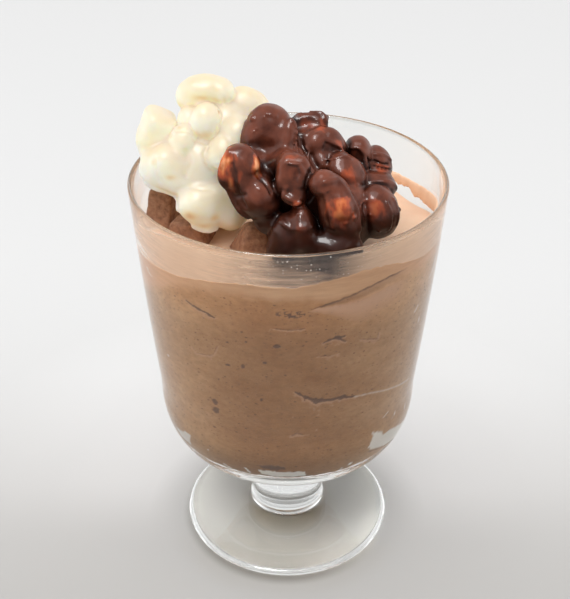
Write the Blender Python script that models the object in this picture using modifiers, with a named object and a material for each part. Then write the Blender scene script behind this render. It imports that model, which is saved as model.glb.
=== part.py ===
"""Chocolate mousse in a footed glass, topped with two nut clusters.

The glass stands on the plane z = 0 with its axis on z. The mousse fills its bowl to just under
the rim. A white chocolate nut cluster leans up out of the left of the bowl, a dark chocolate
almond cluster sits before it and to the right, and three rough chocolate chunks lie round them.
"""
import math

import bmesh
import bpy
from mathutils import Euler, Matrix, Vector

MM = 0.001

# Driving dimensions of the glass.
RIM_RADIUS = 42.5 * MM
HEIGHT = 118.9 * MM
WALL = 1.7 * MM
LIP_START = 108.0 * MM            # from this height up the wall thins towards the rim
LIP_WALL = 1.1 * MM               # and its thickness there
SHOULDER_HEIGHT = 56.7 * MM       # where the round bottom of the bowl turns into its side
SHOULDER_RADIUS = 37.3 * MM
SIDE_BULGE = 0.234                # how far the side bows out between shoulder and rim
BOWL_BOTTOM = 30.2 * MM           # lowest point of the bowl's outside, if it had no stem
OUTER_ROUNDNESS = 2.9             # exponent of the bottom's superellipse, 2 is an ellipse
INNER_ROUNDNESS = 2.6
BOTTOM_THICKNESS = 7.0 * MM
STEM_RADIUS = 10.9 * MM
STEM_FLARE = 17.0 * MM            # radius at which the bowl flows into the stem
NECK_LENGTH = 5.0 * MM            # how far down the stem that flow reaches
WAIST_LENGTH = 3.2 * MM           # how far above the foot's hub the stem starts to widen
WAIST_SPREAD = 2.6 * MM           # and by how much
FOOT_RADIUS = 31.4 * MM
FOOT_HUB_HEIGHT = 7.5 * MM        # top of the foot where the stem meets it
FOOT_TOP_SWELL = 1.9 * MM         # how full the foot's upper curve is
FOOT_EDGE_HEIGHT = 2.4 * MM       # height of the foot's widest point
FOOT_EDGE_ROUND = 2.0 * MM        # how far in from there the edge starts to round
FOOT_CONTACT_RADIUS = 27.4 * MM   # outer edge of the flat ring that the foot stands on
FOOT_RECESS_RADIUS = 24.0 * MM    # inner edge of that ring
FOOT_RECESS_DEPTH = 1.5 * MM

# Driving dimensions of the mousse.
MOUSSE_LEVEL = 105.7 * MM         # height of the surface on the axis
MOUSSE_TILT = Vector((1.2 * MM, -1.9 * MM))   # rise of the surface at the wall, along x and y
MOUSSE_DIPS = (                   # direction, half width of the direction, depth at the wall
    (math.radians(28), math.radians(22), 5.0 * MM),
    (math.radians(197), math.radians(24), 1.9 * MM),
)
MOUSSE_SWELL = 0.35 * MM          # small waves of the surface: height, lengths / 2 pi, shift
MOUSSE_WAVES = Vector((5.65 * MM, 6.84 * MM))
MOUSSE_WAVE_SHIFT = 0.7
UNEVEN_DECAY = 8                  # how fast the unevenness dies out down the side

GAP = 0.3 * MM                    # kept between pieces that touch
TURN_STEPS = 40
ARC_STEPS = 3
SURFACE_RINGS = 7

# Driving dimensions of the clusters: their coat, the grid that fuses the nuts, and the faces kept.
COAT = 0.5 * MM                   # chocolate over each nut
NUT_SEGMENTS = 24
NUT_RINGS = 16
FUSE_GRID = 0.6 * MM
SMOOTHING = 0.5
SMOOTHING_ROUNDS = 7
DARK_FACES = 1700
WHITE_FACES = 1600

# Every nut: centre, half lengths along its own axes, and turns about x, y and z in degrees.
WHITE_NUTS = (
    ((-24.6, 1.0, 141.2), (3.4, 3.8, 4.0), (0, 25, 0)),        # top nut, its left lobe
    ((-19.0, 1.5, 143.0), (4.0, 3.9, 3.1), (0, -12, 0)),       # and its right lobe
    ((-22.4, -4.0, 137.2), (4.4, 4.3, 4.6), (0, 0, 0)),        # below it
    ((-32.6, -2.5, 135.3), (4.0, 4.2, 3.4), (0, 10, 0)),       # left nut, its upper lobe
    ((-34.7, -3.0, 130.8), (3.9, 4.0, 4.3), (0, -20, 0)),      # and its lower lobe
    ((-26.8, -7.5, 131.4), (3.5, 3.7, 5.6), (0, 14, 0)),       # middle
    ((-31.0, -11.0, 127.0), (4.4, 4.2, 4.0), (0, 0, 0)),       # lower left
    ((-15.6, -10.0, 129.2), (4.6, 4.2, 5.4), (0, 0, 0)),       # right, against the dark cluster
    ((-12.0, 3.5, 134.2), (6.8, 5.2, 7.4), (0, 28, 0)),        # smooth right slope
    ((-23.0, -8.0, 124.0), (8.0, 6.0, 9.5), (0, 0, 0)),        # body
    ((-16.5, -1.0, 123.0), (8.5, 6.2, 13.0), (0, 8, 0)),       # back of the body
    ((-33.2, -6.5, 120.8), (4.4, 4.2, 2.0), (0, 18, 0)),       # skirt at the left
    ((-21.6, -14.4, 117.2), (7.4, 5.2, 5.9), (0, 10, 0)),      # lower front lump
    ((-14.2, -12.0, 114.8), (6.0, 5.0, 5.2), (0, 0, 0)),       # and its right end
    ((-16.0, -4.0, 111.0), (6.6, 5.5, 5.0), (0, 0, 0)),        # bottom, sunk in the mousse
    ((-17.0, -2.0, 132.5), (6.5, 4.6, 7.0), (0, 12, 0)),       # filling, between the top nuts
    ((-28.5, -5.5, 127.5), (6.0, 4.0, 6.0), (0, 0, 0)),        # filling, behind the left nuts
)
DARK_NUTS = (
    ((-5.2, -8.5, 135.0), (6.3, 5.2, 7.0), (0, 12, 0)),        # big almond at the top left
    ((-9.5, -21.5, 126.7), (5.9, 4.8, 9.6), (0, -20, 0)),      # big almond at the left
    ((0.9, -22.5, 128.4), (3.9, 3.6, 6.8), (0, 6, 0)),         # curled lump between
    ((5.6, -4.0, 135.1), (3.7, 4.0, 3.9), (0, -10, 0)),        # back, top
    ((8.8, -10.0, 131.2), (4.8, 4.6, 4.7), (0, 0, 0)),         # back, middle
    ((14.2, -14.5, 126.2), (4.1, 4.2, 5.9), (0, -28, 0)),      # behind the right almond
    ((11.4, -26.5, 123.6), (5.6, 4.8, 8.8), (0, -14, 0)),      # big almond at the right
    ((18.4, -7.0, 128.0), (3.2, 3.7, 3.4), (0, -20, 0)),       # back, right
    ((23.1, -6.0, 124.9), (3.1, 3.5, 3.6), (0, -20, 0)),       # striped one at the far right
    ((22.2, -11.5, 122.6), (3.5, 3.5, 2.9), (0, 15, 0)),       # below it
    ((22.2, -19.0, 117.8), (5.2, 4.8, 6.6), (0, -6, 0)),       # ridged one at the lower right
    ((-1.4, -27.2, 114.3), (4.2, 4.4, 7.0), (0, 10, 0)),       # bottom, left
    ((3.4, -26.6, 117.0), (4.2, 4.4, 6.6), (0, -4, 0)),        # bottom, middle
    ((11.4, -29.0, 112.0), (7.0, 4.2, 5.4), (0, 0, 0)),        # bottom, right
    ((1.0, -14.0, 122.0), (8.6, 8.0, 10.5), (0, 0, 0)),        # body
    ((12.5, -17.0, 116.0), (10.0, 9.0, 9.8), (0, 0, 0)),
    ((6.5, -8.5, 126.0), (10.0, 5.6, 7.6), (0, 12, 0)),        # filling, behind the top nuts
    ((17.5, -11.5, 119.5), (8.5, 6.0, 6.5), (0, 10, 0)),       # filling, behind the right nuts
)

# Every chunk: centre, half lengths, turns in degrees, and how far its top narrows.
CHUNKS = {
    "chunk_left": ((-33.2, -2.4, 110.2), (4.0, 4.2, 6.0), (0, 6, -20), 0.8),
    "chunk_under_white": ((-25.4, -10.4, 107.6), (5.6, 4.2, 3.4), (0, -4, -22), 0.8),
    "chunk_front": ((-8.6, -18.6, 109.6), (6.2, 4.6, 5.2), (8, 0, 14), 0.34),
}
CHUNK_BEVEL = 1.0 * MM
CHUNK_BEVEL_STEPS = 2


def clear_scene():
    """Start from an empty scene."""
    for item in list(bpy.data.objects):
        bpy.data.objects.remove(item, do_unlink=True)


def new_collection(name):
    """A new collection under the scene's own."""
    collection = bpy.data.collections.new(name)
    bpy.context.scene.collection.children.link(collection)
    return collection


def new_material(name, colour, roughness, transmission=0.0):
    """A Principled material in one colour."""
    material = bpy.data.materials.new(name)
    material.use_nodes = True
    shader = material.node_tree.nodes["Principled BSDF"]
    shader.inputs["Base Color"].default_value = (*colour, 1.0)
    shader.inputs["Roughness"].default_value = roughness
    shader.inputs["Metallic"].default_value = 0.0
    shader.inputs["Transmission Weight"].default_value = transmission
    return material


def new_object(name, mesh, collection, material=None):
    """An object for a mesh, in a collection, shaded smooth."""
    item = bpy.data.objects.new(name, mesh)
    collection.objects.link(item)
    mesh.shade_smooth()
    if material:
        mesh.materials.append(material)
    return item


def between(first, last, share):
    """The value a share of the way from the first to the last."""
    return first + (last - first) * share


def arc(centre, radii, start, end, steps=ARC_STEPS):
    """Points on an ellipse's arc, angles in degrees from the +r axis towards +z."""
    points = []
    for i in range(steps + 1):
        angle = math.radians(start + (end - start) * i / steps)
        points.append((centre[0] + radii[0] * math.cos(angle), centre[1] + radii[1] * math.sin(angle)))
    return points


def ease(first, first_pull, last_pull, last, steps=ARC_STEPS):
    """Points on a Bezier curve that flows from the first point to the last."""
    points = []
    for i in range(steps + 1):
        t = i / steps
        weights = ((1 - t) ** 3, 3 * (1 - t) ** 2 * t, 3 * (1 - t) * t * t, t ** 3)
        corners = (first, first_pull, last_pull, last)
        points.append(tuple(sum(w * c[k] for w, c in zip(weights, corners)) for k in (0, 1)))
    return points


def side_radius(height):
    """Outer radius of the bowl's side, from its shoulder to its rim."""
    s = (height - SHOULDER_HEIGHT) / (HEIGHT - SHOULDER_HEIGHT)
    return SHOULDER_RADIUS + (RIM_RADIUS - SHOULDER_RADIUS) * (s + SIDE_BULGE * s * (1 - s))


def side(top, inset, steps=5):
    """Points down the bowl's side, a distance inside its outer face."""
    points = []
    for i in range(steps + 1):
        height = top + (SHOULDER_HEIGHT - top) * i / steps
        points.append((side_radius(height) - inset, height))
    return points


def round_bottom(inset, lowest, roundness, steps=7, until=0.0):
    """Points down a superellipse from the shoulder to the axis, or to the radius until."""
    radius = SHOULDER_RADIUS - inset
    points = []
    for i in range(steps + 1):
        angle = 0.5 * math.pi * (1 - i / steps)
        r = radius * max(math.sin(angle), 0.0) ** (2 / roundness)
        z = SHOULDER_HEIGHT - (SHOULDER_HEIGHT - lowest) * max(math.cos(angle), 0.0) ** (2 / roundness)
        if r <= until:
            break
        points.append((r, z))
    return points


def glass_profile():
    """The glass from the inside of its bottom, over the lip, down to the middle of its foot."""
    lip = 0.5 * LIP_WALL
    inside = side(LIP_START, WALL) + round_bottom(
        WALL, BOWL_BOTTOM + BOTTOM_THICKNESS, INNER_ROUNDNESS)[1:]
    inside.append((0.0, BOWL_BOTTOM + BOTTOM_THICKNESS))
    rim = arc((RIM_RADIUS - lip, HEIGHT - lip), (lip, lip), 180, 0, steps=4)
    outside = side(HEIGHT - lip, 0.0) + round_bottom(
        0.0, BOWL_BOTTOM, OUTER_ROUNDNESS, steps=12, until=STEM_FLARE)[1:]
    flare = outside[-1]
    neck = ease(flare, (0.5 * (flare[0] + STEM_RADIUS), flare[1] - 0.1 * NECK_LENGTH),
                (STEM_RADIUS, flare[1] - 0.25 * NECK_LENGTH), (STEM_RADIUS, flare[1] - NECK_LENGTH))
    hub = (STEM_RADIUS + WAIST_SPREAD, FOOT_HUB_HEIGHT - 0.1 * WAIST_LENGTH)
    waist = ease((STEM_RADIUS, FOOT_HUB_HEIGHT + WAIST_LENGTH),
                 (STEM_RADIUS, FOOT_HUB_HEIGHT + 0.4 * WAIST_LENGTH),
                 (STEM_RADIUS + 0.25 * WAIST_SPREAD, FOOT_HUB_HEIGHT), hub)
    edge_top = (FOOT_RADIUS - FOOT_EDGE_ROUND, FOOT_EDGE_HEIGHT + 0.65 * FOOT_EDGE_ROUND)
    foot_top = ease(hub, (between(hub[0], edge_top[0], 0.4), FOOT_HUB_HEIGHT - 0.85 * FOOT_TOP_SWELL),
                    (between(hub[0], edge_top[0], 0.72), FOOT_EDGE_HEIGHT + FOOT_TOP_SWELL), edge_top)
    edge = ease(edge_top, (FOOT_RADIUS - 0.3 * FOOT_EDGE_ROUND, edge_top[1] - 0.1 * FOOT_EDGE_ROUND),
                (FOOT_RADIUS, FOOT_EDGE_HEIGHT + 0.3 * FOOT_EDGE_ROUND),
                (FOOT_RADIUS, FOOT_EDGE_HEIGHT), steps=2)
    under = arc((FOOT_CONTACT_RADIUS, FOOT_EDGE_HEIGHT),
                (FOOT_RADIUS - FOOT_CONTACT_RADIUS, FOOT_EDGE_HEIGHT), 0, -90)
    recess = ease((FOOT_RECESS_RADIUS, 0.0), (between(0.0, FOOT_RECESS_RADIUS, 0.83), 0.0),
                  (between(0.0, FOOT_RECESS_RADIUS, 0.67), FOOT_RECESS_DEPTH), (0.0, FOOT_RECESS_DEPTH))
    return (inside[::-1] + rim[:-1] + outside + neck[1:] + waist + foot_top[1:] + edge[1:]
            + under[1:] + recess)


def mousse_profile():
    """The mousse from the middle of its surface out to the wall and down to its bottom."""
    inset = WALL + GAP
    wall_radius = side_radius(MOUSSE_LEVEL) - inset
    surface = [(wall_radius * i / SURFACE_RINGS, MOUSSE_LEVEL) for i in range(SURFACE_RINGS)]
    bottom = round_bottom(inset, BOWL_BOTTOM + BOTTOM_THICKNESS + GAP, INNER_ROUNDNESS)[1:]
    return surface + side(MOUSSE_LEVEL, inset) + bottom + [(0.0, BOWL_BOTTOM + BOTTOM_THICKNESS + GAP)]


def turned(name, profile, collection, material):
    """A solid turned from a profile of (radius, height) points, as a real mesh."""
    outline = bpy.data.meshes.new(name + "_outline")
    points = [(r, 0.0, z) for r, z in profile]
    outline.from_pydata(points, [(i, i + 1) for i in range(len(points) - 1)], [])
    item = bpy.data.objects.new(name + "_outline", outline)
    collection.objects.link(item)
    screw = item.modifiers.new("Turn", "SCREW")
    screw.steps = TURN_STEPS
    screw.render_steps = TURN_STEPS
    screw.use_merge_vertices = True
    screw.merge_threshold = 0.00001
    bpy.context.view_layer.update()
    mesh = bpy.data.meshes.new_from_object(item.evaluated_get(bpy.context.evaluated_depsgraph_get()))
    mesh.name = name
    bpy.data.objects.remove(item, do_unlink=True)
    return new_object(name, mesh, collection, material)


def surface_rise(x, y):
    """How far the mousse's surface stands above its level at a place."""
    reach = math.hypot(x, y) / RIM_RADIUS
    direction = math.atan2(y, x)
    rise = (MOUSSE_TILT.x * x + MOUSSE_TILT.y * y) / RIM_RADIUS
    for middle, width, depth in MOUSSE_DIPS:
        turn = math.remainder(direction - middle, 2 * math.pi)
        rise -= depth * reach ** 2 * math.exp(-(turn / width) ** 2)
    wave = math.sin(x / MOUSSE_WAVES.x + MOUSSE_WAVE_SHIFT) * math.cos(y / MOUSSE_WAVES.y)
    return rise + MOUSSE_SWELL * wave


def uneven_surface(item):
    """Raise and lower the mousse's surface, and keep its side along the bowl's."""
    for vertex in item.data.vertices:
        x, y, height = vertex.co
        share = (height - SHOULDER_HEIGHT) / (MOUSSE_LEVEL - SHOULDER_HEIGHT)
        if share <= 0:
            continue
        new_height = height + surface_rise(x, y) * share ** UNEVEN_DECAY
        fit = side_radius(new_height) / side_radius(height)
        vertex.co = (x * fit, y * fit, new_height)


def fused_nuts(name, nuts, faces, collection, material):
    """A cluster: one egg shape for each nut, fused by its coat of chocolate."""
    shape = bmesh.new()
    for centre, half, turns in nuts:
        placing = (Matrix.Translation(Vector(centre) * MM)
                   @ Euler([math.radians(a) for a in turns]).to_matrix().to_4x4()
                   @ Matrix.Diagonal([h * MM + COAT for h in half] + [1.0]))
        bmesh.ops.create_uvsphere(shape, u_segments=NUT_SEGMENTS, v_segments=NUT_RINGS,
                                  radius=1.0, matrix=placing)
    mesh = bpy.data.meshes.new(name)
    shape.to_mesh(mesh)
    shape.free()
    item = new_object(name, mesh, collection, material)
    fuse = item.modifiers.new("Fuse", "REMESH")
    fuse.mode = "VOXEL"
    fuse.voxel_size = FUSE_GRID
    fuse.use_smooth_shade = True
    smooth = item.modifiers.new("Flow", "SMOOTH")
    smooth.factor = SMOOTHING
    smooth.iterations = SMOOTHING_ROUNDS
    bpy.context.view_layer.update()
    count = len(item.evaluated_get(bpy.context.evaluated_depsgraph_get()).data.polygons) * 2
    thin = item.modifiers.new("Facets", "DECIMATE")
    thin.ratio = faces / count
    return item


def chunk(name, collection, material):
    """A broken chunk: a block whose top narrows, with worn edges."""
    centre, half, turns, narrowing = CHUNKS[name]
    shape = bmesh.new()
    bmesh.ops.create_cube(shape, size=2.0)
    for vertex in shape.verts:
        if vertex.co.z > 0:
            vertex.co.x *= narrowing
            vertex.co.y *= narrowing
    placing = (Matrix.Translation(Vector(centre) * MM)
               @ Euler([math.radians(a) for a in turns]).to_matrix().to_4x4()
               @ Matrix.Diagonal([h * MM for h in half] + [1.0]))
    shape.transform(placing)
    mesh = bpy.data.meshes.new(name)
    shape.to_mesh(mesh)
    shape.free()
    item = new_object(name, mesh, collection, material)
    worn = item.modifiers.new("Worn edges", "BEVEL")
    worn.width = CHUNK_BEVEL
    worn.segments = CHUNK_BEVEL_STEPS
    return item


def grown_copy(item, cutters):
    """A cutter a little larger all round than a piece, so that what it cuts keeps the gap."""
    bpy.context.view_layer.update()
    mesh = bpy.data.meshes.new_from_object(item.evaluated_get(bpy.context.evaluated_depsgraph_get()))
    cutter = new_object(item.name + "_cutter", mesh, cutters)
    grow = cutter.modifiers.new("Gap", "DISPLACE")
    grow.mid_level = 0.0
    grow.strength = GAP
    cutter.hide_render = True
    cutter.display_type = "WIRE"
    return cutter


def cut_by(item, cutters):
    """Cut a piece by each of its neighbours' grown copies."""
    for cutter in cutters:
        cut = item.modifiers.new("Room for " + cutter.name, "BOOLEAN")
        cut.operation = "DIFFERENCE"
        cut.solver = "EXACT"
        cut.object = cutter


def main():
    """Build the whole dessert."""
    clear_scene()
    parts = new_collection("Chocolate mousse")
    cutters = new_collection("Cutters")
    clear_glass = new_material("Clear glass", (0.97, 0.99, 0.98), 0.02, transmission=1.0)
    mousse_brown = new_material("Mousse", (0.31, 0.17, 0.10), 0.6)
    white_coat = new_material("White chocolate", (0.90, 0.80, 0.56), 0.35)
    dark_coat = new_material("Dark chocolate", (0.055, 0.018, 0.012), 0.2)
    truffle = new_material("Rough chocolate", (0.16, 0.075, 0.04), 0.8)

    turned("glass", glass_profile(), parts, clear_glass)
    mousse = turned("mousse", mousse_profile(), parts, mousse_brown)
    uneven_surface(mousse)

    dark = fused_nuts("dark_cluster", DARK_NUTS, DARK_FACES, parts, dark_coat)
    white = fused_nuts("white_cluster", WHITE_NUTS, WHITE_FACES, parts, white_coat)
    dark_cutter = grown_copy(dark, cutters)
    cut_by(white, [dark_cutter])
    white_cutter = grown_copy(white, cutters)
    chunk_cutters = []
    for name in CHUNKS:
        piece = chunk(name, parts, truffle)
        cut_by(piece, [dark_cutter, white_cutter] + chunk_cutters)
        chunk_cutters.append(grown_copy(piece, cutters))
    cut_by(mousse, [dark_cutter, white_cutter] + chunk_cutters)


main()
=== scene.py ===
"""Looks of a chocolate mousse in a footed glass, topped with two nut clusters.

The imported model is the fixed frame. Finer meshes stand for its nodes, and two thin skins of mousse on
the glass are added. Sizes are in millimetres and degrees, and MM turns them into metres; the floor
and the lights are in metres.
"""

import math

import bpy
import numpy as np
import openvdb
from mathutils import Euler, Matrix, Vector, noise

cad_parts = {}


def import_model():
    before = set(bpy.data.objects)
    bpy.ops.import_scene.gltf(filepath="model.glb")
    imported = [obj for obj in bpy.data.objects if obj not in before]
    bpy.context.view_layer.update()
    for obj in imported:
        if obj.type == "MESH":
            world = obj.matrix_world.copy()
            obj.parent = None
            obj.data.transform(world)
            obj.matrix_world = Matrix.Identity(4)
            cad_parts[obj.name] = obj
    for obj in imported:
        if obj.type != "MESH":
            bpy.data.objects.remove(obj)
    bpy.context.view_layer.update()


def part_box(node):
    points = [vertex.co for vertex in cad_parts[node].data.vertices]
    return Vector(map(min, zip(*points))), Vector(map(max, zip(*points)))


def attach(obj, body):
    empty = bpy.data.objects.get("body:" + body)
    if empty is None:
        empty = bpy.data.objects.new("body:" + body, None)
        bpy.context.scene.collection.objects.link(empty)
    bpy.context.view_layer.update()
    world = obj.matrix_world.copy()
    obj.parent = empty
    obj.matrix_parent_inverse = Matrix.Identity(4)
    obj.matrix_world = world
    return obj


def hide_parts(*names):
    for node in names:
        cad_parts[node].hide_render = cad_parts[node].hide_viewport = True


MM = 0.001

# The glass, as the model has it.
RIM_RADIUS = 42.5
HEIGHT = 118.9
WALL = 1.7
LIP_START = 108.0
LIP_WALL = 1.1
SHOULDER_HEIGHT = 56.7
SHOULDER_RADIUS = 37.3
SIDE_BULGE = 0.234
BOWL_BOTTOM = 30.2
OUTER_ROUNDNESS = 2.9
INNER_ROUNDNESS = 2.6
BOTTOM_THICKNESS = 7.0
STEM_RADIUS = 10.9
STEM_FLARE = 17.0
NECK_LENGTH = 5.0
WAIST_LENGTH = 3.2
WAIST_SPREAD = 2.6
FOOT_RADIUS = 31.4
FOOT_HUB_HEIGHT = 7.5
FOOT_TOP_SWELL = 1.9
FOOT_EDGE_HEIGHT = 2.4
FOOT_EDGE_ROUND = 2.0
FOOT_CONTACT_RADIUS = 27.4
FOOT_RECESS_RADIUS = 24.0
FOOT_RECESS_DEPTH = 1.5
INNER_BOTTOM = BOWL_BOTTOM + BOTTOM_THICKNESS
GLASS_SEGMENTS = 288            # more than the model's

# The mousse, as the model has it.
MOUSSE_LEVEL = 105.7
MOUSSE_TILT = (1.2, -1.9)
MOUSSE_DIPS = ((28, 22, 5.0), (197, 24, 1.9))     # direction, half width, depth at the wall
# Only here, the mousse reaches into the wall and swells up to the foot of the white cluster.
IN_GLASS = 0.15
MOUND_PLACE = (-17.3, -4.1)
MOUND_RISE = 1.6
MOUND_REACH = 7.0


# ------------ meshes

def new_object(name, data):
    """An object in the scene that holds this mesh, light or camera."""
    thing = bpy.data.objects.new(name, data)
    bpy.context.scene.collection.objects.link(thing)
    return thing


def new_piece(name, points, faces, material, node):
    """A smooth piece from points in millimetres, which stands for the node if one is given."""
    mesh = bpy.data.meshes.new(name)
    mesh.from_pydata((np.asarray(points) * MM).tolist(), [], [list(f) for f in faces])
    mesh.update()
    mesh.shade_smooth()
    mesh.materials.append(material)
    piece = new_object(name, mesh)
    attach(piece, "root")
    if node:
        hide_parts(node)
    return piece


def add_values(piece, name, values):
    """A number for each point of a piece, which its material reads by name."""
    attribute = piece.data.attributes.new(name, "FLOAT", "POINT")
    attribute.data.foreach_set("value", np.asarray(values, np.float32))


def between(first, last, share):
    """The value a share of the way from the first to the last."""
    return first + (last - first) * share


def smooth_step(low, high, value):
    """0 on low's side, 1 beyond high, and a smooth change between."""
    t = np.clip((value - low) / (high - low), 0.0, 1.0)
    return t * t * (3.0 - 2.0 * t)


def read(table, place, column=1):
    """A column of a table at a place, read between its rows, which start with their own place."""
    return np.interp(place, [row[0] for row in table], [row[column] for row in table])


def bumps(points, size, octaves, shift=0.0):
    """Cloudy values of about -1 to 1 at points, for bumps of about that size in millimetres."""
    return np.array([noise.fractal(Vector(p) / size + Vector((shift, 0.0, 0.0)), 1.0, 2.0, octaves)
                     for p in points])


def turned(radius, angle, height):
    """Points at a radius and an angle about z, and at a height."""
    return np.stack(np.broadcast_arrays(radius * np.cos(angle), radius * np.sin(angle), height), -1)


def revolve(rows, angles):
    """Points and faces of a surface turned about z: rows of (radius, height) from pole to pole."""
    rings = [turned(radius, angles, height) for radius, height in rows[1:-1]]
    points = np.concatenate([[(0.0, 0.0, rows[0][1])], *rings, [(0.0, 0.0, rows[-1][1])]])
    return points, ring_faces(len(rings), len(angles))


def ring_faces(rings, count):
    """Faces that join a first point, a number of closed rings of points, and a last point."""
    faces = []
    last = 1 + rings * count
    for k in range(count):
        n = (k + 1) % count
        faces.append((0, 1 + n, 1 + k))
        for i in range(rings - 1):
            a = 1 + i * count
            b = a + count
            faces.append((a + k, a + n, b + n, b + k))
        faces.append((last - count + k, last - count + n, last))
    return faces


# ------------ the glass


def ease(first, first_pull, last_pull, last, steps):
    """Points on a Bezier curve, without its first point."""
    points = []
    for i in range(1, steps + 1):
        t = i / steps
        weights = ((1 - t) ** 3, 3 * (1 - t) ** 2 * t, 3 * (1 - t) * t * t, t ** 3)
        corners = (first, first_pull, last_pull, last)
        points.append(tuple(sum(w * c[k] for w, c in zip(weights, corners)) for k in (0, 1)))
    return points


def side_radius(height):
    """Outer radius of the bowl's side."""
    s = (height - SHOULDER_HEIGHT) / (HEIGHT - SHOULDER_HEIGHT)
    return SHOULDER_RADIUS + (RIM_RADIUS - SHOULDER_RADIUS) * (s + SIDE_BULGE * s * (1 - s))


def inner_radius(height):
    """Inner radius of the bowl's side, whose wall thins towards the rim."""
    thinned = np.clip((height - LIP_START) / (HEIGHT - 0.5 * LIP_WALL - LIP_START), 0.0, 1.0)
    return side_radius(height) - WALL + (WALL - LIP_WALL) * thinned


def bottom_rows(inset, lowest, roundness, steps, until=0.0):
    """Points down the bowl's round bottom, from below its shoulder to the axis or a radius."""
    rows = []
    for i in range(1, steps + 1):
        angle = 0.5 * math.pi * (1 - i / steps)
        radius = (SHOULDER_RADIUS - inset) * max(math.sin(angle), 0.0) ** (2 / roundness)
        height = SHOULDER_HEIGHT - (SHOULDER_HEIGHT - lowest) * max(math.cos(angle), 0.0) ** (2 / roundness)
        if radius <= until:
            break
        rows.append((radius, height))
    return rows


def side_rows(top, radius_at, steps):
    """Points down the bowl's side to its shoulder, outside or inside."""
    heights = [between(top, SHOULDER_HEIGHT, i / steps) for i in range(steps + 1)]
    return [(float(radius_at(h)), h) for h in heights]


def glass_rows():
    """The glass's outline, from the inside of its bottom over the lip to the middle of its foot."""
    lip = 0.5 * LIP_WALL
    inside = side_rows(HEIGHT - lip, inner_radius, 48) + bottom_rows(WALL, INNER_BOTTOM, INNER_ROUNDNESS, 30)
    middle = side_radius(HEIGHT - lip) - lip
    rim = [(middle - lip * math.cos(math.pi * i / 12), HEIGHT - lip + lip * math.sin(math.pi * i / 12))
           for i in range(1, 12)]
    outside = side_rows(HEIGHT - lip, side_radius, 24)
    outside += bottom_rows(0.0, BOWL_BOTTOM, OUTER_ROUNDNESS, 40, until=STEM_FLARE)
    flare = outside[-1]
    neck_end = (STEM_RADIUS, flare[1] - NECK_LENGTH)
    neck = ease(flare, (0.5 * (flare[0] + STEM_RADIUS), flare[1] - 0.1 * NECK_LENGTH),
                (STEM_RADIUS, flare[1] - 0.25 * NECK_LENGTH), neck_end, 10)
    hub = (STEM_RADIUS + WAIST_SPREAD, FOOT_HUB_HEIGHT - 0.1 * WAIST_LENGTH)
    waist_top = (STEM_RADIUS, FOOT_HUB_HEIGHT + WAIST_LENGTH)
    waist = [waist_top] + ease(waist_top, (STEM_RADIUS, FOOT_HUB_HEIGHT + 0.4 * WAIST_LENGTH),
                               (STEM_RADIUS + 0.25 * WAIST_SPREAD, FOOT_HUB_HEIGHT), hub, 10)
    edge_top = (FOOT_RADIUS - FOOT_EDGE_ROUND, FOOT_EDGE_HEIGHT + 0.65 * FOOT_EDGE_ROUND)
    foot_top = ease(hub, (between(hub[0], edge_top[0], 0.4), FOOT_HUB_HEIGHT - 0.85 * FOOT_TOP_SWELL),
                    (between(hub[0], edge_top[0], 0.72), FOOT_EDGE_HEIGHT + FOOT_TOP_SWELL), edge_top, 12)
    edge_side = (FOOT_RADIUS, FOOT_EDGE_HEIGHT)
    edge = ease(edge_top, (FOOT_RADIUS - 0.3 * FOOT_EDGE_ROUND, edge_top[1] - 0.1 * FOOT_EDGE_ROUND),
                (FOOT_RADIUS, FOOT_EDGE_HEIGHT + 0.3 * FOOT_EDGE_ROUND), edge_side, 8)
    reach = FOOT_RADIUS - FOOT_CONTACT_RADIUS
    under = [(FOOT_CONTACT_RADIUS + reach * math.cos(0.5 * math.pi * i / 8),
              FOOT_EDGE_HEIGHT * (1 - math.sin(0.5 * math.pi * i / 8))) for i in range(1, 9)]
    ring = (FOOT_RECESS_RADIUS, 0.0)
    recess = [ring] + ease(ring, (0.83 * FOOT_RECESS_RADIUS, 0.0),
                           (0.67 * FOOT_RECESS_RADIUS, FOOT_RECESS_DEPTH), (0.0, FOOT_RECESS_DEPTH), 16)
    return inside[::-1] + rim + outside + neck + waist + foot_top + edge + under + recess


def make_glass():
    """The footed glass, turned finely."""
    angles = np.arange(GLASS_SEGMENTS) * 2 * math.pi / GLASS_SEGMENTS
    points, faces = revolve(glass_rows()[::-1], angles)
    glass = new_piece("footed_glass", points, faces, clear_glass(), "glass")
    glass.visible_shadow = False


# ------------ the mousse

MOUSSE_SEGMENTS = 396
FRONT_DENSITY = 0.6             # how much closer the points lie at the front than on average
BOTTOM_STEPS, SIDE_STEPS, TOP_STEPS = 60, 165, 24
GAP_LEVEL = 42.3                # below this the mousse hangs clear of the glass
GAP_DEPTH = 1.0
GAP_EDGE = 0.35                 # half the height over which it comes away
LEAST_PALE = -93.0              # the angle from which painted side light makes the mousse paler to both sides
RIGHT_PACE = 0.85               # how fast it does so on the right, where the left has 1
PAINTED_SIDELIGHT = (5.0, 55.0)         # over so many degrees from there
PAINTED_UPPER_LIGHT = (89.0, 103.0)           # heights over which painted light makes it paler, too
FLUSH = 0.13                    # depth of a crack, so that it still lies against the glass
DEGREE = math.radians(1.0) * (SHOULDER_RADIUS + 2.0)      # millimetres along the wall for a degree

# How far the mousse's edge has climbed the glass above its surface: angle, rise.
CLIMB = ((-132.0, 0.0), (-120.0, 1.2), (-107.0, 2.2), (-98.0, 1.9), (-88.0, 1.4), (-76.0, 2.7),
         (-64.0, 3.8), (-52.0, 3.0), (-38.0, 0.6), (-32.0, 0.0))
CLIMB_REACH = 0.8               # how far from the glass the climbing edge falls away
CLIMB_UNEVEN = 0.12
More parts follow.
